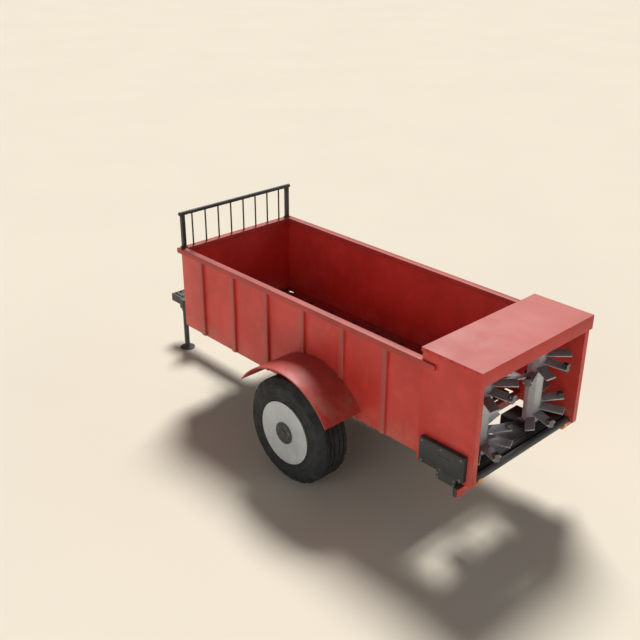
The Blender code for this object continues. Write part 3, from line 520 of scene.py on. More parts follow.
def turned(bm, profile, centre, count, side=1.0, shift=None):
    """A closed profile of (radius, y) turned about the Y axis. shift(k, i) may move a point by (dr, dy)."""
    rings = []
    for k, (radius, y) in enumerate(profile):
        if radius <= 0.0:
            rings.append([bm.verts.new((centre[0], side * y, centre[1]))])
            continue
        ring = []
        for i in range(count):
            dr, dy = shift(k, i) if shift else (0.0, 0.0)
            a = 2 * math.pi * i / count
            ring.append(bm.verts.new((
                centre[0] + (radius + dr) * math.cos(a), side * (y + dy), centre[1] + (radius + dr) * math.sin(a),
            )))
        rings.append(ring)
    for a, b in zip(rings, rings[1:] + rings[:1]):
        if len(a) == 1 and len(b) == 1:
            continue
        for i in range(count):
            j = (i + 1) % count
            corners = []
            for v in (a[i % len(a)], a[j % len(a)], b[j % len(b)], b[i % len(b)]):
                if v not in corners:
                    corners.append(v)
            if len(corners) > 2:
                bm.faces.new(corners)
    bmesh.ops.recalc_face_normals(bm, faces=bm.faces)


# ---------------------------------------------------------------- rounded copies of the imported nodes
for node in ("side_wall_left", "side_wall_right", "front_wall", "housing_side_left", "housing_side_right"):
    rounded(node, 0.0015)
rounded("hood", 0.0045, 3)
for node in ("drive_case", "drive_motor"):
    rounded(node, 0.006, 3)
for node in ("tail_lamp_housing_left", "tail_lamp_housing_right"):
    rounded(node, 0.005, 3)
for node in ("tail_lamp_lens_left", "tail_lamp_lens_right"):
    rounded(node, 0.004, 3)
for node in ("drawbar", "tow_block", "beater_bed", "beater_top_beam", "front_beam", "axle_seat_left", "axle_seat_right"):
    rounded(node, 0.003, 2)
for node in ("beater_gearbox", "side_marker_left", "side_marker_right"):
    rounded(node, 0.003, 2)
for node, y in (("beater_left", BEAT_Y), ("beater_right", -BEAT_Y)):
    mesh = rounded(node, 0.0014, 2).data
    for look in (PADDLE_SHADED, PADDLE_EDGE_LIT, KNIFE, TIP_FACE):
        mesh.materials.append(look)
    local = NODES[node].matrix_world
    # broad paddle faces take the painted-shade steel, thin side and end faces the painted-light steel
    for face in mesh.polygons:
        at = local @ face.center - Vector((BEAT_X, y, 0.0))
        n = (local.to_3x3() @ face.normal).normalized()
        reach = math.hypot(at.x, at.y)
        out = at.x * n.x + at.y * n.y
        if reach < SHAFT_R + 0.006:
            continue
        if 0.85 < abs(n.z) < 0.98:
            face.material_index = 1
        elif 0.10 < abs(n.z) < 0.60:
            face.material_index = 2
        elif abs(n.z) < 0.10 and abs(out - BEAT_R) < 0.0008:
            face.material_index = 2
        elif abs(n.z) < 0.10 and abs(out - TIP_R[1]) < 0.0008:
            face.material_index = 4
        else:
            face.material_index = 3
rounded("chassis_frame", 0.0012, 1)
rounded("jack_sleeve", 0.0015, 2, 35)


# ---------------------------------------------------------------- wheels
def tyre_points():
    """(radius, y, kind) round the section, from the outer bead over the tread to the inner bead and back inside."""
    mid = 0.995
    outer = [
        (0.3330, 1.1500, ""), (0.3370, 1.1700, ""), (0.3470, 1.1765, ""), (0.3620, 1.1775, ""),
        (0.3660, 1.1735, ""), (0.3710, 1.1735, ""), (0.3750, 1.1772, ""), (0.4180, 1.1785, ""),
        (0.4190, 1.1765, ""), (0.4250, 1.1765, ""), (0.4260, 1.1785, ""), (0.4700, 1.1780, ""),
        (0.4720, 1.1800, ""), (0.4790, 1.1800, ""), (0.4820, 1.1775, ""), (0.4980, 1.1755, ""),
        (0.5050, 1.1720, "lug"), (0.5230, 1.1580, "lug"), (0.5420, 1.1430, "lug"), (0.5590, 1.1290, "lug"),
        (0.5640, 1.1235, "lug"), (0.5648, 1.1120, "edge"), (0.5650, 1.0905, "rib"),
    ]
    grooves = (1.0800, 1.0260, 0.9620, 0.9080)
    tread = []
    for g in grooves:
        tread += [(0.5650, g + 0.0068, "zig"), (0.5545, g + 0.0050, "zig"), (0.5545, g - 0.0050, "zig"), (0.5650, g - 0.0068, "zig")]
        if g != grooves[-1]:
            tread.append((0.5650, g - 0.0270, "sipe"))
    inner = [(r, 2 * mid - y - (0.003 if k in ("lug", "edge", "rib") else 0.0), k) for r, y, k in reversed(outer)]
    liner = [(0.3330, 0.8400, ""), (0.4800, 0.8400, ""), (0.5250, 0.8760, ""), (0.5250, 1.1110, ""), (0.4800, 1.1500, "")]
    return outer + tread + inner + liner


def tyre(side, name, body, node):
    points = tyre_points()
    count = 192

    def shift(k, i):
        kind = points[k][2]
        if kind == "zig":
            return 0.0, 0.0050 * (abs((i % 8) - 4) - 2) / 2
        if kind in ("lug", "edge"):
            return (-0.0085 if i % 8 in (0, 1) else 0.0), 0.0
        if kind == "sipe":
            return (-0.0050 if i % 8 == 3 else 0.0), 0.0
        return 0.0, 0.0

    bm = bmesh.new()
    turned(bm, [(r, y) for r, y, _ in points], (AXLE_X, AXLE_Z), count, side, shift)
    return piece(name, bm, RUBBER, body, (node,), 32)


def rim(side, name, body, node):
    profile = [
        (0.1003, 1.1740), (0.1003, 1.1812), (0.1040, 1.1826), (0.2780, 1.1826), (0.2880, 1.1840), (0.2960, 1.1840),
        (0.3040, 1.1826), (0.3110, 1.1832), (0.3160, 1.1860), (0.3300, 1.1860), (0.3350, 1.1846), (0.3360, 1.1800),
        (0.3355, 1.1760), (0.3220, 1.1500), (0.3000, 1.1350), (0.3000, 0.8500), (0.3220, 0.8360), (0.3360, 0.8110),
        (0.3360, 0.8050), (0.3260, 0.8050), (0.2920, 0.8450), (0.2920, 1.1400), (0.2800, 1.1740),
    ]
    bm = bmesh.new()
    turned(bm, profile, (AXLE_X, AXLE_Z), 96, side)
    made = piece(name, bm, PALE, body, (node,), 30)
    return made


def hub(side, name, body, node):
    profile = [
        (0.0, 1.2060), (0.0330, 1.2060), (0.0400, 1.2048), (0.0450, 1.2010), (0.0480, 1.1965), (0.0560, 1.1945),
        (0.1100, 1.1945), (0.1155, 1.1930), (0.1170, 1.1900), (0.1170, 1.1863), (0.0985, 1.1863), (0.0985, 1.1737),
        (0.1400, 1.1737), (0.1400, 1.1550), (0.0850, 1.1500), (0.0850, 0.9900), (0.1980, 0.9880), (0.2050, 0.9820),
        (0.2050, 0.8560), (0.2020, 0.8500), (0.1900, 0.8500), (0.1900, 0.9700), (0.0600, 0.9700), (0.0600, 0.8300),
        (0.0470, 0.8300), (0.0470, 1.1200), (0.0, 1.1200),
    ]
    bm = bmesh.new()
    turned(bm, profile, (AXLE_X, AXLE_Z), 64, side)
    made = piece(name, bm, GREY, body, (node,), 30)
    nuts = bmesh.new()
    for i in range(8):
        a = 2 * math.pi * (i + 0.5) / 8
        at = (AXLE_X + 0.083 * math.cos(a), side * 1.1945, AXLE_Z + 0.083 * math.sin(a))
        add_bolt(nuts, at, (0, side, 0), 0.0240, 0.0085, True, a)
    piece(name + "_nuts", nuts, KNIFE, body, (), 30)
    return made


for side, word in ((1.0, "left"), (-1.0, "right")):
    tyre(side, "tyre_tread_" + word, "wheel_" + word, "tyre_" + word)
    rim(side, "rim_disc_" + word, "wheel_" + word, "wheel_rim_" + word)
    hub(side, "hub_cap_" + word, "wheel_" + word, "wheel_hub_" + word)


# ---------------------------------------------------------------- fenders
def fender(side, word):
    x0, z0 = FENDER_C
    a0, a1 = (math.radians(a) for a in FENDER_DEG)
    steps = 56
    bm = bmesh.new()
    y0, y1 = WALL_Y + 0.0004, FENDER_Y
    # section across the sheet: a rolled outer edge and a flange on the wall
    section = [
        (y0, 0.0), (y0 + 0.030, 0.0), (y1 - 0.020, 0.0), (y1 - 0.008, -0.0004), (y1 - 0.0025, -0.0022), (y1, -0.0065),
        (y1 - 0.0012, -0.0125), (y1 - 0.0050, -0.0150), (y1 - 0.0090, -0.0130), (y1 - 0.0105, -0.0090), (y1 - 0.0150, -0.0050),
        (y0 + 0.030, -0.0050), (y0 + 0.0052, -0.0050), (y0 + 0.0050, -0.0300), (y0, -0.0300),
    ]
    rings = []
    for k in range(steps + 1):
        a = a0 + (a1 - a0) * k / steps
        rings.append([
            bm.verts.new((x0 + (FENDER_R + d) * math.cos(a), side * y, z0 + (FENDER_R + d) * math.sin(a))) for y, d in section
        ])
    for a, b in zip(rings, rings[1:]):
        for i in range(len(section)):
            j = (i + 1) % len(section)
            bm.faces.new((a[i], a[j], b[j], b[i]))
    bm.faces.new(rings[0][::-1])
    bm.faces.new(rings[-1])
    bmesh.ops.recalc_face_normals(bm, faces=bm.faces)
    piece("fender_sheet_" + word, bm, FENDER_RED, "frame", ("fender_" + word,), 34)
    # stays underneath and their bolts
    stay = bmesh.new()
    heads = bmesh.new()
    for deg in (58.0, 90.0, 122.0):
        a = math.radians(deg)
        place = Matrix.Translation((x0, 0.0, z0)) @ Matrix.Rotation(-(a - math.pi / 2), 4, "Y")
        low, high = FENDER_R - 0.034, FENDER_R - 0.0052
        for lo, hi in (
            ((-0.020, 0.0, high - 0.005), (0.020, 0.0, high)),
            ((-0.0025, 0.0, low), (0.0025, 0.0, high)),
        ):
            ys = sorted((side * (WALL_Y + 0.006), side * (FENDER_Y - 0.060)))
            add_box(stay, (lo[0], ys[0], lo[2]), (hi[0], ys[1], hi[2]), place, 0.0012, 1)
        for y in (0.90, 1.05, 1.18):
            at = place @ Vector((0.011, side * y, FENDER_R - 0.0003))
            out = (place.to_3x3() @ Vector((0, 0, 1)))
            add_dome(heads, at, out, 0.0085, 0.0045)
    piece("fender_stays_" + word, stay, GREY, "frame", (), 35)
    piece("fender_bolts_" + word, heads, FENDER_RED, "frame", (), 40)
    # weld along the wall
    weld = bmesh.new()
    last = None
    for k in range(0, steps + 1, 2):
        a = a0 + (a1 - a0) * k / steps
        here = (x0 + (FENDER_R + 0.001) * math.cos(a), side * (y0 + 0.0005), z0 + (FENDER_R + 0.001) * math.sin(a))
        if last:
            add_bead(weld, last, here, 0.0040, (0, side, 0), 0.010)
        last = here
    piece("fender_weld_" + word, weld, FENDER_RED, "frame", (), 50)


fender(1.0, "left")
fender(-1.0, "right")


# ---------------------------------------------------------------- box: rail, welds, seams
def rail():
    """Rounded channel section swept round the box, with closed rounded tails outside the housing."""
    r = 0.007
    low, high = RAIL_TOP - RAIL_H, RAIL_TOP
    half = RAIL_W / 2
    t = 0.004

    def corner(cx, cz, start, radius, n=4):
        return [
            (cx + radius * math.cos(math.radians(start + 90.0 * k / n)), cz + radius * math.sin(math.radians(start + 90.0 * k / n)))
            for k in range(n + 1)
        ]

    profile = [(half, low)]
    profile += corner(half - r, high - r, 0.0, r)
    profile += corner(-half + r, high - r, 90.0, r)
    profile += [(-half, low), (-half + t, low), (-half + t, high - t), (half - t, high - t), (half - t, low)]
    mid = WALL_Y + RAIL_OUT - half
    front = BOX_X1 + RAIL_OUT - half
    path = [Vector(p) for p in ((BOX_X0 + 0.004, mid), (front, mid), (front, -mid), (BOX_X0 + 0.004, -mid))]
    bm = bmesh.new()
    rings = []
    for k, here in enumerate(path):
        before = (here - path[k - 1]).normalized() if k else None
        after = (path[k + 1] - here).normalized() if k + 1 < len(path) else None
        before, after = before or after, after or before
        left = [Vector((-d.y, d.x)) for d in (before, after)]
        mitre = (left[0] + left[1]).normalized()
        mitre /= mitre.dot(left[0])
        rings.append([bm.verts.new((*(here + mitre * offset), z)) for offset, z in profile])
    for a, b in zip(rings, rings[1:]):
        for i in range(len(profile)):
            j = (i + 1) % len(profile)
            bm.faces.new((a[i], a[j], b[j], b[i]))
    bm.faces.new(rings[0][::-1])
    bm.faces.new(rings[-1])
    bmesh.ops.recalc_face_normals(bm, faces=bm.faces)
    for side in (1, -1):
        y = sorted((side * (HSG_Y[1] + 0.0004), side * (WALL_Y + RAIL_OUT)))
        add_box(bm, (RAIL_REAR, y[0], low), (BOX_X0 + 0.020, y[1], high), None, 0.0100, 4)
    piece("rail_channel", bm, RAIL_RED, "frame", ("top_rail",), 38)


rail()


def rib_low(x):
    near = [x - FENDER_C[0], x + RIB_W - FENDER_C[0]]
    span = min(abs(near[0]), abs(near[1])) if near[0] * near[1] > 0 else 0.0
    if span < FENDER_R * math.cos(math.radians(FENDER_DEG[0])):
        return FENDER_C[1] + math.sqrt((FENDER_R + 0.004) ** 2 - span**2)
    return RIB_Z0


for side, word in ((1, "left"), (-1, "right")):
    bm = bmesh.new()
    for i in range(RIB_N):
        x = RIB_X + i * RIB_STEP
        low = rib_low(x) + 0.012
        for at in (x - 0.0006, x + RIB_W + 0.0006):
            add_bead(bm, (at, side * (WALL_Y + 0.0006), low), (at, side * (WALL_Y + 0.0006), RAIL_TOP - RAIL_H - 0.004), 0.0036, (0, side, 0), 0.011)
    # stitched weld along the rail's lower edge
    x = BOX_X1 - 0.05
    while x > BOX_X0 + 0.10:
        if not any(RIB_X + i * RIB_STEP - 0.02 < x < RIB_X + i * RIB_STEP + RIB_W + 0.08 for i in range(RIB_N)):
            add_bead(bm, (x, side * (WALL_Y + 0.0010), RAIL_TOP - RAIL_H - 0.0010), (x - 0.055, side * (WALL_Y + 0.0010), RAIL_TOP - RAIL_H - 0.0010), 0.0030, (0, 0, -1), 0.009)
        x -= 0.135
    # the joint between the wall and the housing
    add_bead(bm, (BOX_X0, side * (WALL_Y + 0.0004), WALL_Z0 + 0.01), (BOX_X0, side * (WALL_Y + 0.0004), RAIL_TOP - RAIL_H - 0.004), 0.0034, (0, side, 0), 0.011)
    piece("wall_welds_" + word, bm, RED, "frame", (), 50)

    # inside: seam where the wall meets the floor, and the corner to the front wall
    bm = bmesh.new()
    add_bead(bm, (-1.975, side * (WALL_Y - WALL_T - 0.001), 0.8690), (1.270, side * (WALL_Y - WALL_T - 0.001), 0.8690), 0.0045, (0, 0, 1), 0.014)
    piece("floor_seam_" + word, bm, FLOOR_RED, "frame", (), 50)
    bm = bmesh.new()
    add_bead(bm, (BOX_X1 - WALL_T - 0.001, side * (WALL_Y - WALL_T - 0.001), 0.872), (BOX_X1 - WALL_T - 0.001, side * (WALL_Y - WALL_T - 0.001), RAIL_TOP - 0.020), 0.0040, (-1, 0, 0), 0.012)
    piece("corner_seam_" + word, bm, RED, "frame", (), 50)


# ---------------------------------------------------------------- front guard
def guard():
    base = RAIL_TOP + 0.0003
    bm = bmesh.new()
    add_tube(bm, (GUARD_X, -GUARD_POST_Y - 0.044, GUARD_Z), (GUARD_X, GUARD_POST_Y + 0.044, GUARD_Z), GUARD_TUBE_R, 28, 0.004)
    for side in (1, -1):
        y = side * GUARD_POST_Y
        add_box(bm, (GUARD_X - 0.0215, y - 0.0215, base + 0.004), (GUARD_X + 0.0215, y + 0.0215, GUARD_Z - 0.004), None, 0.0035, 2)
        add_box(bm, (GUARD_X - 0.034, y - 0.030, base), (GUARD_X + 0.034, y + 0.030, base + 0.008), None, 0.0020, 2)
        for dx, dy in ((1, 0), (-1, 0), (0, 1), (0, -1)):
            a = Vector((GUARD_X + dx * 0.0220 - dy * 0.019, y + dy * 0.0220 - dx * 0.019, base + 0.0085))
            b = Vector((GUARD_X + dx * 0.0220 + dy * 0.019, y + dy * 0.0220 + dx * 0.019, base + 0.0085))
            add_bead(bm, a, b, 0.0030, (0, 0, 1), 0.007)
        for k in range(10):
            a0, a1 = (2 * math.pi * k / 10, 2 * math.pi * (k + 1) / 10)
            p = [(GUARD_X + 0.0215 * math.cos(a), y + 0.0215 * math.sin(a), GUARD_Z - 0.0120) for a in (a0, a1)]
            add_bead(bm, p[0], p[1], 0.0026, (0, 0, 1), 0.007)
    for i in range(GUARD_BARS):
        y = (i - (GUARD_BARS - 1) / 2) * GUARD_BAR_STEP
        add_tube(bm, (GUARD_X, y, base), (GUARD_X, y, GUARD_Z - 0.010), GUARD_BAR_R, 14, 0.001)
        add_ring(bm, [(0.0130, -0.0001), (0.0118, 0.0028), (0.0092, 0.0040)], Matrix.Translation((GUARD_X, y, base)), 14)
        add_ring(bm, [(0.0092, -0.0150), (0.0115, -0.0115), (0.0135, -0.0080)], Matrix.Translation((GUARD_X, y, GUARD_Z - 0.006)), 14)
    piece("guard_frame", bm, GREY, "frame", ("front_guard",), 38)
    heads = bmesh.new()
    for side in (1, -1):
        for dx in (-0.0285, 0.0285):
            add_bolt(heads, (GUARD_X + dx, side * (GUARD_POST_Y - 0.0245), base + 0.0080), (0, 0, 1), 0.0080, 0.0050, False)
            add_bolt(heads, (GUARD_X + dx, side * (GUARD_POST_Y + 0.0245), base + 0.0080), (0, 0, 1), 0.0080, 0.0050, False)
    piece("guard_bolts", heads, BOLT, "frame", (), 30)


guard()


# ---------------------------------------------------------------- beaters
def pad_place(y, i):
    return (
        Matrix.Translation((BEAT_X, y, PAD_TOP_Z + i * PAD_STEP_Z))
        @ Matrix.Rotation(math.radians(PAD_TOP_DEG + i * PAD_STEP_DEG), 4, "Z")
    )


for y, word in ((BEAT_Y, "left"), (-BEAT_Y, "right")):
    heads, welds = bmesh.new(), bmesh.new()
    flat = SHAFT_R * math.cos(math.pi / 8)
    for i in range(PAD_N):
        place = pad_place(y, i)
        pitched = place @ Matrix.Rotation(math.radians(PAD_PITCH), 4, "X")
        out = pitched.to_3x3() @ Vector((0, 0, 1))
        for s in (1, -1):
            a = pitched @ Vector((flat + 0.004, -PAD_W / 2 + 0.004, s * (PAD_T / 2 + 0.001)))
            b = pitched @ Vector((flat + 0.004, PAD_W / 2 - 0.004, s * (PAD_T / 2 + 0.001)))
            add_bead(welds, a, b, 0.0045, out * s, 0.010)
        if i % 2 == 0:
            # two bolts through the block on the paddle's end
            side_way = place.to_3x3() @ Vector((0, 1, 0))
            for s in (1, -1):
                for dz in (-0.022, 0.022):
                    add_bolt(heads, place @ Vector((0.2830, s * TIP_W / 2, dz)), side_way * s, 0.0120, 0.0050)
    piece("beater_bolts_" + word, heads, KNIFE, "beater_" + word, (), 30)
    piece("beater_welds_" + word, welds, BEATER, "beater_" + word, (), 50)
    # fixed bearings: flange on the bed, bolts under the top beam
    fixed, heads = bmesh.new(), bmesh.new()
    add_box(fixed, (BEAT_X - 0.085, y - 0.096, BED_TOP - 0.001), (BEAT_X + 0.085, y + 0.096, BED_TOP + 0.0085), None, 0.0030, 2)
    place = Matrix.Translation((BEAT_X, y, BED_TOP + 0.0085))
    add_ring(fixed, [(0.0780, -0.001), (0.0780, 0.0020), (0.0740, 0.0045), (0.0500, 0.0045), (0.0, 0.0045)], place, 48)
    for sx in (-1, 1):
        for sy in (-1, 1):
            add_bolt(heads, (BEAT_X + sx * 0.0700, y + sy * 0.0810, BED_TOP + 0.0085), (0, 0, 1), 0.0160, 0.0050)
    for sx in (-1, 1):
        for sy in (-1, 1):
            add_bolt(heads, (BEAT_X + sx * 0.044, y + sy * 0.100, TOPBEAM_Z), (0, 0, -1), 0.0190, 0.0090)
    piece("bearing_flange_" + word, fixed, GREY, "frame", (), 35)
    piece("bearing_bolts_" + word, heads, BOLT, "frame", (), 30)

# raised seams along the beater bed; their lighter grey against the black bed is a painted highlight, standing in for
# the light lines along the bed's edges
bm = bmesh.new()
for x in (BED_X[0] + 0.022, BED_X[0] + 0.052, BED_X[1] - 0.018):
    add_box(bm, (x - 0.0035, -0.744, BED_TOP - 0.001), (x + 0.0035, 0.744, BED_TOP + 0.0035), None, 0.0012, 2)
piece("bed_strips_painted_highlight", bm, TUBE_GREY, "frame", (), 35)


# ---------------------------------------------------------------- hood, housing, drive case
heads = bmesh.new()
for side in (1, -1):
    for k in range(5):
        x = HOOD_X0 + 0.060 + k * (HOOD_X1 - HOOD_X0 - 0.120) / 4
        add_bolt(heads, (x, side * HOOD_Y, HOOD_Z - 0.022), (0, side, 0), 0.0150, 0.0060)
for k in range(9):
    y = -0.72 + k * 0.18
    add_bolt(heads, (HOOD_X1 - 0.0002, y, HOOD_Z - 0.022), (1, 0, 0), 0.0150, 0.0060)
piece("hood_bolts", heads, RED, "frame", (), 30)

bm, heads = bmesh.new(), bmesh.new()
x0, x1, z0, z1, y = -2.697, -2.200, 0.8400, 1.0930, 0.865
add_box(bm, (x0 + 0.016, y - 0.002, z0 + 0.016), (x1 - 0.016, y + 0.0028, z1 - 0.016), None, 0.0020, 2)
for fx in (0.06, 0.5, 0.94):
    for fz in (0.10, 0.90):
        add_bolt(heads, (x0 + (x1 - x0) * fx, y + 0.0026, z0 + (z1 - z0) * fz), (0, 1, 0), 0.0150, 0.0065)
add_box(bm, (x0 + 0.150, y + 0.0020, 0.985), (x0 + 0.262, y + 0.0075, 1.009), None, 0.0020, 2)
piece("case_cover", bm, GREY, "frame", (), 35)
for fx in (-2.606, -2.421):
    for z in (0.774, 0.818):
        add_bolt(heads, (fx, 0.862, z), (0, 1, 0), 0.0140, 0.0060)
piece("case_bolts", heads, BOLT, "frame", (), 30)

# lamps: screws
for side, word in ((1, "left"), (-1, "right")):
    bm, heads = bmesh.new(), bmesh.new()
    for y in (0.776, 0.877):
        add_dome(heads, (-2.6868, side * y, 0.7465), (-1, 0, 0), 0.0045, 0.0020)
    piece("lamp_screws_" + word, heads, BOLT, "frame", (), 40)


# ---------------------------------------------------------------- floor conveyors
def loop_at(distance):
    """(x, z, turn) at a distance along the middle of the chain loop, from the front end of the upper run backwards."""
    x0, x1 = CONV_X
    r = CONV_R - CHAIN_T / 2
    run, bend = x1 - x0, math.pi * r
    total = 2 * run + 2 * bend
    d = distance % total
    if d < run:
        return x1 - d, CONV_Z + r, math.pi
    d -= run
    if d < bend:
        a = math.pi / 2 + d / r
        return x0 + r * math.cos(a), CONV_Z + r * math.sin(a), a + math.pi / 2
    d -= bend
    if d < run:
        return x0 + d, CONV_Z - r, 0.0
    d -= run
    a = -math.pi / 2 + d / r
    return x1 + r * math.cos(a), CONV_Z + r * math.sin(a), a + math.pi / 2


def conveyor(side, word):
    x0, x1 = CONV_X
    r = CONV_R - CHAIN_T / 2
    total = 2 * (x1 - x0) + 2 * math.pi * r
    count = int(total / 0.041 / 2) * 2
    pitch = total / count
    chains = bmesh.new()
    for y in CHAIN_Y:
        for k in range(count):
            ax, az, _ = loop_at(k * pitch)
            bx, bz, _ = loop_at((k + 1) * pitch)
            mid = Vector(((ax + bx) / 2, side * y, (az + bz) / 2))
            turn = math.atan2(bz - az, bx - ax)
            place = Matrix.Translation(mid) @ Matrix.Rotation(-turn, 4, "Y")
            gap = 0.0125 if k % 2 else 0.0085
            for s in (1, -1):
                # a waisted link plate with round ends
                outline = []
                for end in (1, -1):
                    for q in range(5):
                        a = math.radians(-72 + 36 * q) + (0 if end > 0 else math.pi)
                        outline.append((end * pitch / 2 + 0.0076 * math.cos(a), 0.0076 * math.sin(a)))
                    outline.append((0.0, 0.0062 if end > 0 else -0.0062))
                verts = []
                for dy in (s * gap - 0.0016, s * gap + 0.0016):
                    verts.append([chains.verts.new(place @ Vector((px, dy, pz))) for px, pz in outline])
                chains.faces.new(verts[0])
                chains.faces.new(verts[1][::-1])
                n = len(outline)
                for q in range(n):
                    w = (q + 1) % n
                    chains.faces.new((verts[0][q], verts[1][q], verts[1][w], verts[0][w]))
            pin = Matrix.Translation((ax, side * y, az)) @ frame_for((0, 1, 0))
            add_ring(chains, [(0.0, -0.0150), (0.0034, -0.0150), (0.0040, -0.0143), (0.0040, 0.0143), (0.0034, 0.0150), (0.0, 0.0150)], pin, 8)
            add_ring(chains, [(0.0040, -0.0068), (0.0070, -0.0068), (0.0070, 0.0068), (0.0040, 0.0068)], pin, 10)
    bmesh.ops.recalc_face_normals(chains, faces=chains.faces)
    piece("floor_chain_" + word, chains, CHAIN, "frame", ("conveyor_" + word,), 35)
    slats, heads = bmesh.new(), bmesh.new()
    count = int((x1 - x0) / SLAT_STEP) + 1
    first = x1 - 0.06
    for i in range(count):
        for x, z0, z1, up in ((first - i * SLAT_STEP, 0.8845, 0.8990, 1), (first - 0.12 - i * SLAT_STEP, 0.7610, 0.7755, -1)):
            if x < x0 + 0.03:
                continue
            ys = sorted((side * CONV_SPAN[0], side * CONV_SPAN[1]))
            add_box(slats, (x - 0.020, ys[0], z0), (x + 0.020, ys[1], z1), None, 0.0030, 2)
            lip = (0.8697, z0 + 0.002) if up > 0 else (z1 - 0.002, 0.7905)
            for edge in ((CONV_SPAN[0], CHAIN_Y[0] - 0.018), (CHAIN_Y[0] + 0.018, CHAIN_Y[1] - 0.018), (CHAIN_Y[1] + 0.018, CONV_SPAN[1])):
                ys = sorted((side * edge[0], side * edge[1]))
                add_box(slats, (x - 0.020, ys[0], lip[0]), (x - 0.0145, ys[1], lip[1]), None, 0.0012, 1)
            for y in CHAIN_Y:
                for dx in (-0.0105, 0.0105):
                    add_bolt(heads, (x + dx, side * y, z1 if up > 0 else z0), (0, 0, up), 0.0120, 0.0052 if up > 0 else 0.0030, False)
    piece("floor_slats_" + word, slats, FLOOR, "frame", (), 35)
    piece("slat_bolts_" + word, heads, BOLT, "frame", (), 30)


conveyor(1, "left")
conveyor(-1, "right")


# ---------------------------------------------------------------- drawbar, block, jack, axle clamps
heads, bm = bmesh.new(), bmesh.new()
for x in (2.622, 2.680):
    for y in (-0.066, 0.048):
        add_bolt(heads, (x, y, 0.6157), (0, 0, 1), 0.0190, 0.0090)
add_ring(bm, [(0.0265, 0.0), (0.0265, 0.0020), (0.0285, 0.0036), (0.0380, 0.0036), (0.0395, 0.0018), (0.0395, -0.001)], Matrix.Translation((2.735, 0.0, 0.6157)), 36)
add_ring(bm, [(0.0265, -0.060), (0.0265, 0.001)], Matrix.Translation((2.735, 0.0, 0.6157)), 36)
piece("pin_bush", bm, BOLT, "frame", (), 35)
for x in (0.520, 1.285, 1.315, 0.480):
    for s in (1, -1):
        add_bolt(heads, (x, s * 0.072, 0.5066), (0, 0, -1), 0.0190, 0.0090)
piece("drawbar_bolts", heads, BOLT, "frame", (), 30)

bm = bmesh.new()
for s in (1, -1):
    add_bead(bm, (2.6002, s * 0.090, 0.6040), (2.6002, s * 0.012, 0.6040), 0.0040, (0, 0, 1), 0.010)
    add_bead(bm, (2.6002, s * 0.0962, 0.5100), (2.6002, s * 0.0962, 0.6000), 0.0040, (0, s, 0), 0.010)
add_bead(bm, (JACK_X - 0.0625, 0.0968, 0.580), (JACK_X - 0.0625, 0.0968, 0.603), 0.0038, (0, 1, 0), 0.009)
add_bead(bm, (JACK_X + 0.0625, 0.0968, 0.580), (JACK_X + 0.0625, 0.0968, 0.603), 0.0038, (0, 1, 0), 0.009)
piece("drawbar_welds", bm, GREY, "frame", (), 50)

bm = bmesh.new()
place = Matrix.Translation((JACK_X, JACK_Y, 0.0))
add_ring(bm, [
    (0.0, 0.0), (0.0880, 0.0), (0.0930, 0.0018), (0.0950, 0.0060), (0.0945, 0.0105), (0.0900, 0.0135), (0.0800, 0.0155),
    (0.0600, 0.0240), (0.0480, 0.0320), (0.0400, 0.0350), (0.0330, 0.0360), (JACK_R, 0.0390), (JACK_R, 0.5980), (0.0310, 0.6000), (0.0, 0.6000),
], place, 48)
piece("jack_tube", bm, GREY, "jack", ("jack_leg",), 35)

# U-bolts that clamp the axle to its seats
for side, word in ((1, "left"), (-1, "right")):
    bm, heads = bmesh.new(), bmesh.new()
    for y in (0.312, 0.368):
        yy = side * y
        for sx in (1, -1):
            add_tube(bm, (AXLE_X + sx * 0.0640, yy, AXLE_Z - 0.050), (AXLE_X + sx * 0.0640, yy, 0.6290), 0.0070, 12, 0.001)
        add_tube(bm, (AXLE_X - 0.0640, yy, AXLE_Z - 0.0625), (AXLE_X + 0.0640, yy, AXLE_Z - 0.0625), 0.0070, 12, 0.001)
        for sx in (1, -1):
            add_tube(bm, (AXLE_X + sx * 0.0640, yy, AXLE_Z - 0.0500), (AXLE_X + sx * 0.0600, yy, AXLE_Z - 0.0640), 0.0070, 12, 0.001)
    piece("axle_clamps_" + word, bm, BOLT, "frame", (), 40)

# splined end of the drive stub
bm = bmesh.new()
for k in range(6):
    a = 2 * math.pi * k / 6
    place = Matrix.Translation((0, 0.200, 0.680)) @ Matrix.Rotation(a, 4, "X")
    add_box(bm, (1.575, -0.0042, 0.0150), (1.6385, 0.0042, 0.0210), place, 0.0010, 1)
piece("drive_splines", bm, BOLT, "frame", (), 30)

# bolts that hold the front wall's foot and the chassis cross-members
heads = bmesh.new()
for y in (-0.66, -0.36, -0.12, 0.12, 0.36, 0.66):
    add_bolt(heads, (BOX_X1, y, 0.885), (1, 0, 0), 0.0170, 0.0075)
for x in (1.300, 0.500, -0.300, -1.150, -1.900):
    for s in (1, -1):
        for z in (0.665, 0.728):
            add_bolt(heads, (x, s * 0.380, z), (0, s, 0), 0.0190, 0.0085)
piece("frame_bolts", heads, BOLT, "frame", (), 30)


# ---------------------------------------------------------------- stage, light, camera
def plain(name, colour, rough):
    k = Look(name)
    tone = k.remap(k.noise(0.35, 2.0), 0.3, 0.7)
    k.put(k.shader.inputs["Base Color"], k.mix(tone, colour, tuple(c * 0.985 for c in colour)))
    k.shader.inputs["Roughness"].default_value = rough
    k.shader.inputs["Specular IOR Level"].default_value = 0.0
    return k.mat


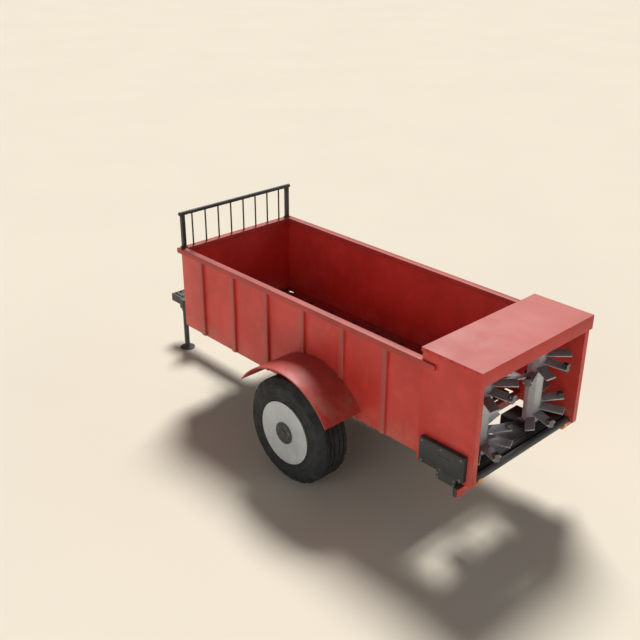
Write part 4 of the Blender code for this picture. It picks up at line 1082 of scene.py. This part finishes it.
ground = bpy.data.meshes.new("ground")
bm = bmesh.new()
bmesh.ops.create_grid(bm, x_segments=2, y_segments=2, size=150.0)
bm.to_mesh(ground)
bm.free()
floor = bpy.data.objects.new("ground", ground)
bpy.context.scene.collection.objects.link(floor)
floor.location = (0.0, 0.0, -0.0005)
ground.materials.append(plain("ground_paper", (0.885, 0.805, 0.665), 1.0))

world = bpy.data.worlds.new("studio")
bpy.context.scene.world = world
world.use_nodes = True
shade = world.node_tree.nodes["Background"]
shade.inputs["Color"].default_value = (0.96, 0.98, 1.0, 1.0)
shade.inputs["Strength"].default_value = 0.085


def sun(name, azimuth, elevation, spread, energy, colour):
    made = bpy.data.lights.new(name, "SUN")
    made.energy = energy
    made.angle = math.radians(spread)
    made.color = colour
    lamp = bpy.data.objects.new(name, made)
    bpy.context.scene.collection.objects.link(lamp)
    a, e = math.radians(azimuth), math.radians(elevation)
    lamp.rotation_mode = "QUATERNION"
    lamp.rotation_quaternion = Vector((math.cos(a) * math.cos(e), math.sin(a) * math.cos(e), math.sin(e))).to_track_quat("Z", "Y")


sun("key", -48.0, 54.0, 18.0, 3.34, (1.0, 0.995, 0.985))
sun("fill", 98.0, 8.0, 60.0, 0.86, (0.97, 0.99, 1.0))
sun("rim", 222.0, 14.0, 50.0, 0.38, (0.97, 0.985, 1.0))
bpy.context.scene.view_settings.view_transform = "Standard"

camera = bpy.data.cameras.new("camera")
view = bpy.data.objects.new("camera", camera)
bpy.context.scene.collection.objects.link(view)
camera.lens = 50.06
camera.sensor_width = 36.0
camera.sensor_fit = "AUTO"
forward = Vector((0.65886, -0.61549, -0.43251)).normalized()
right = forward.cross(Vector((0, 0, 1))).normalized()
upward = right.cross(forward)
roll = math.radians(0.204)
right, upward = right * math.cos(roll) + upward * math.sin(roll), -right * math.sin(roll) + upward * math.cos(roll)
turn = Matrix((right, upward, -forward)).transposed()
view.matrix_world = Matrix.Translation((-6.4467, 6.0403, 5.4067)) @ turn.to_4x4()
bpy.context.scene.camera = view

bpy.context.view_layer.update()
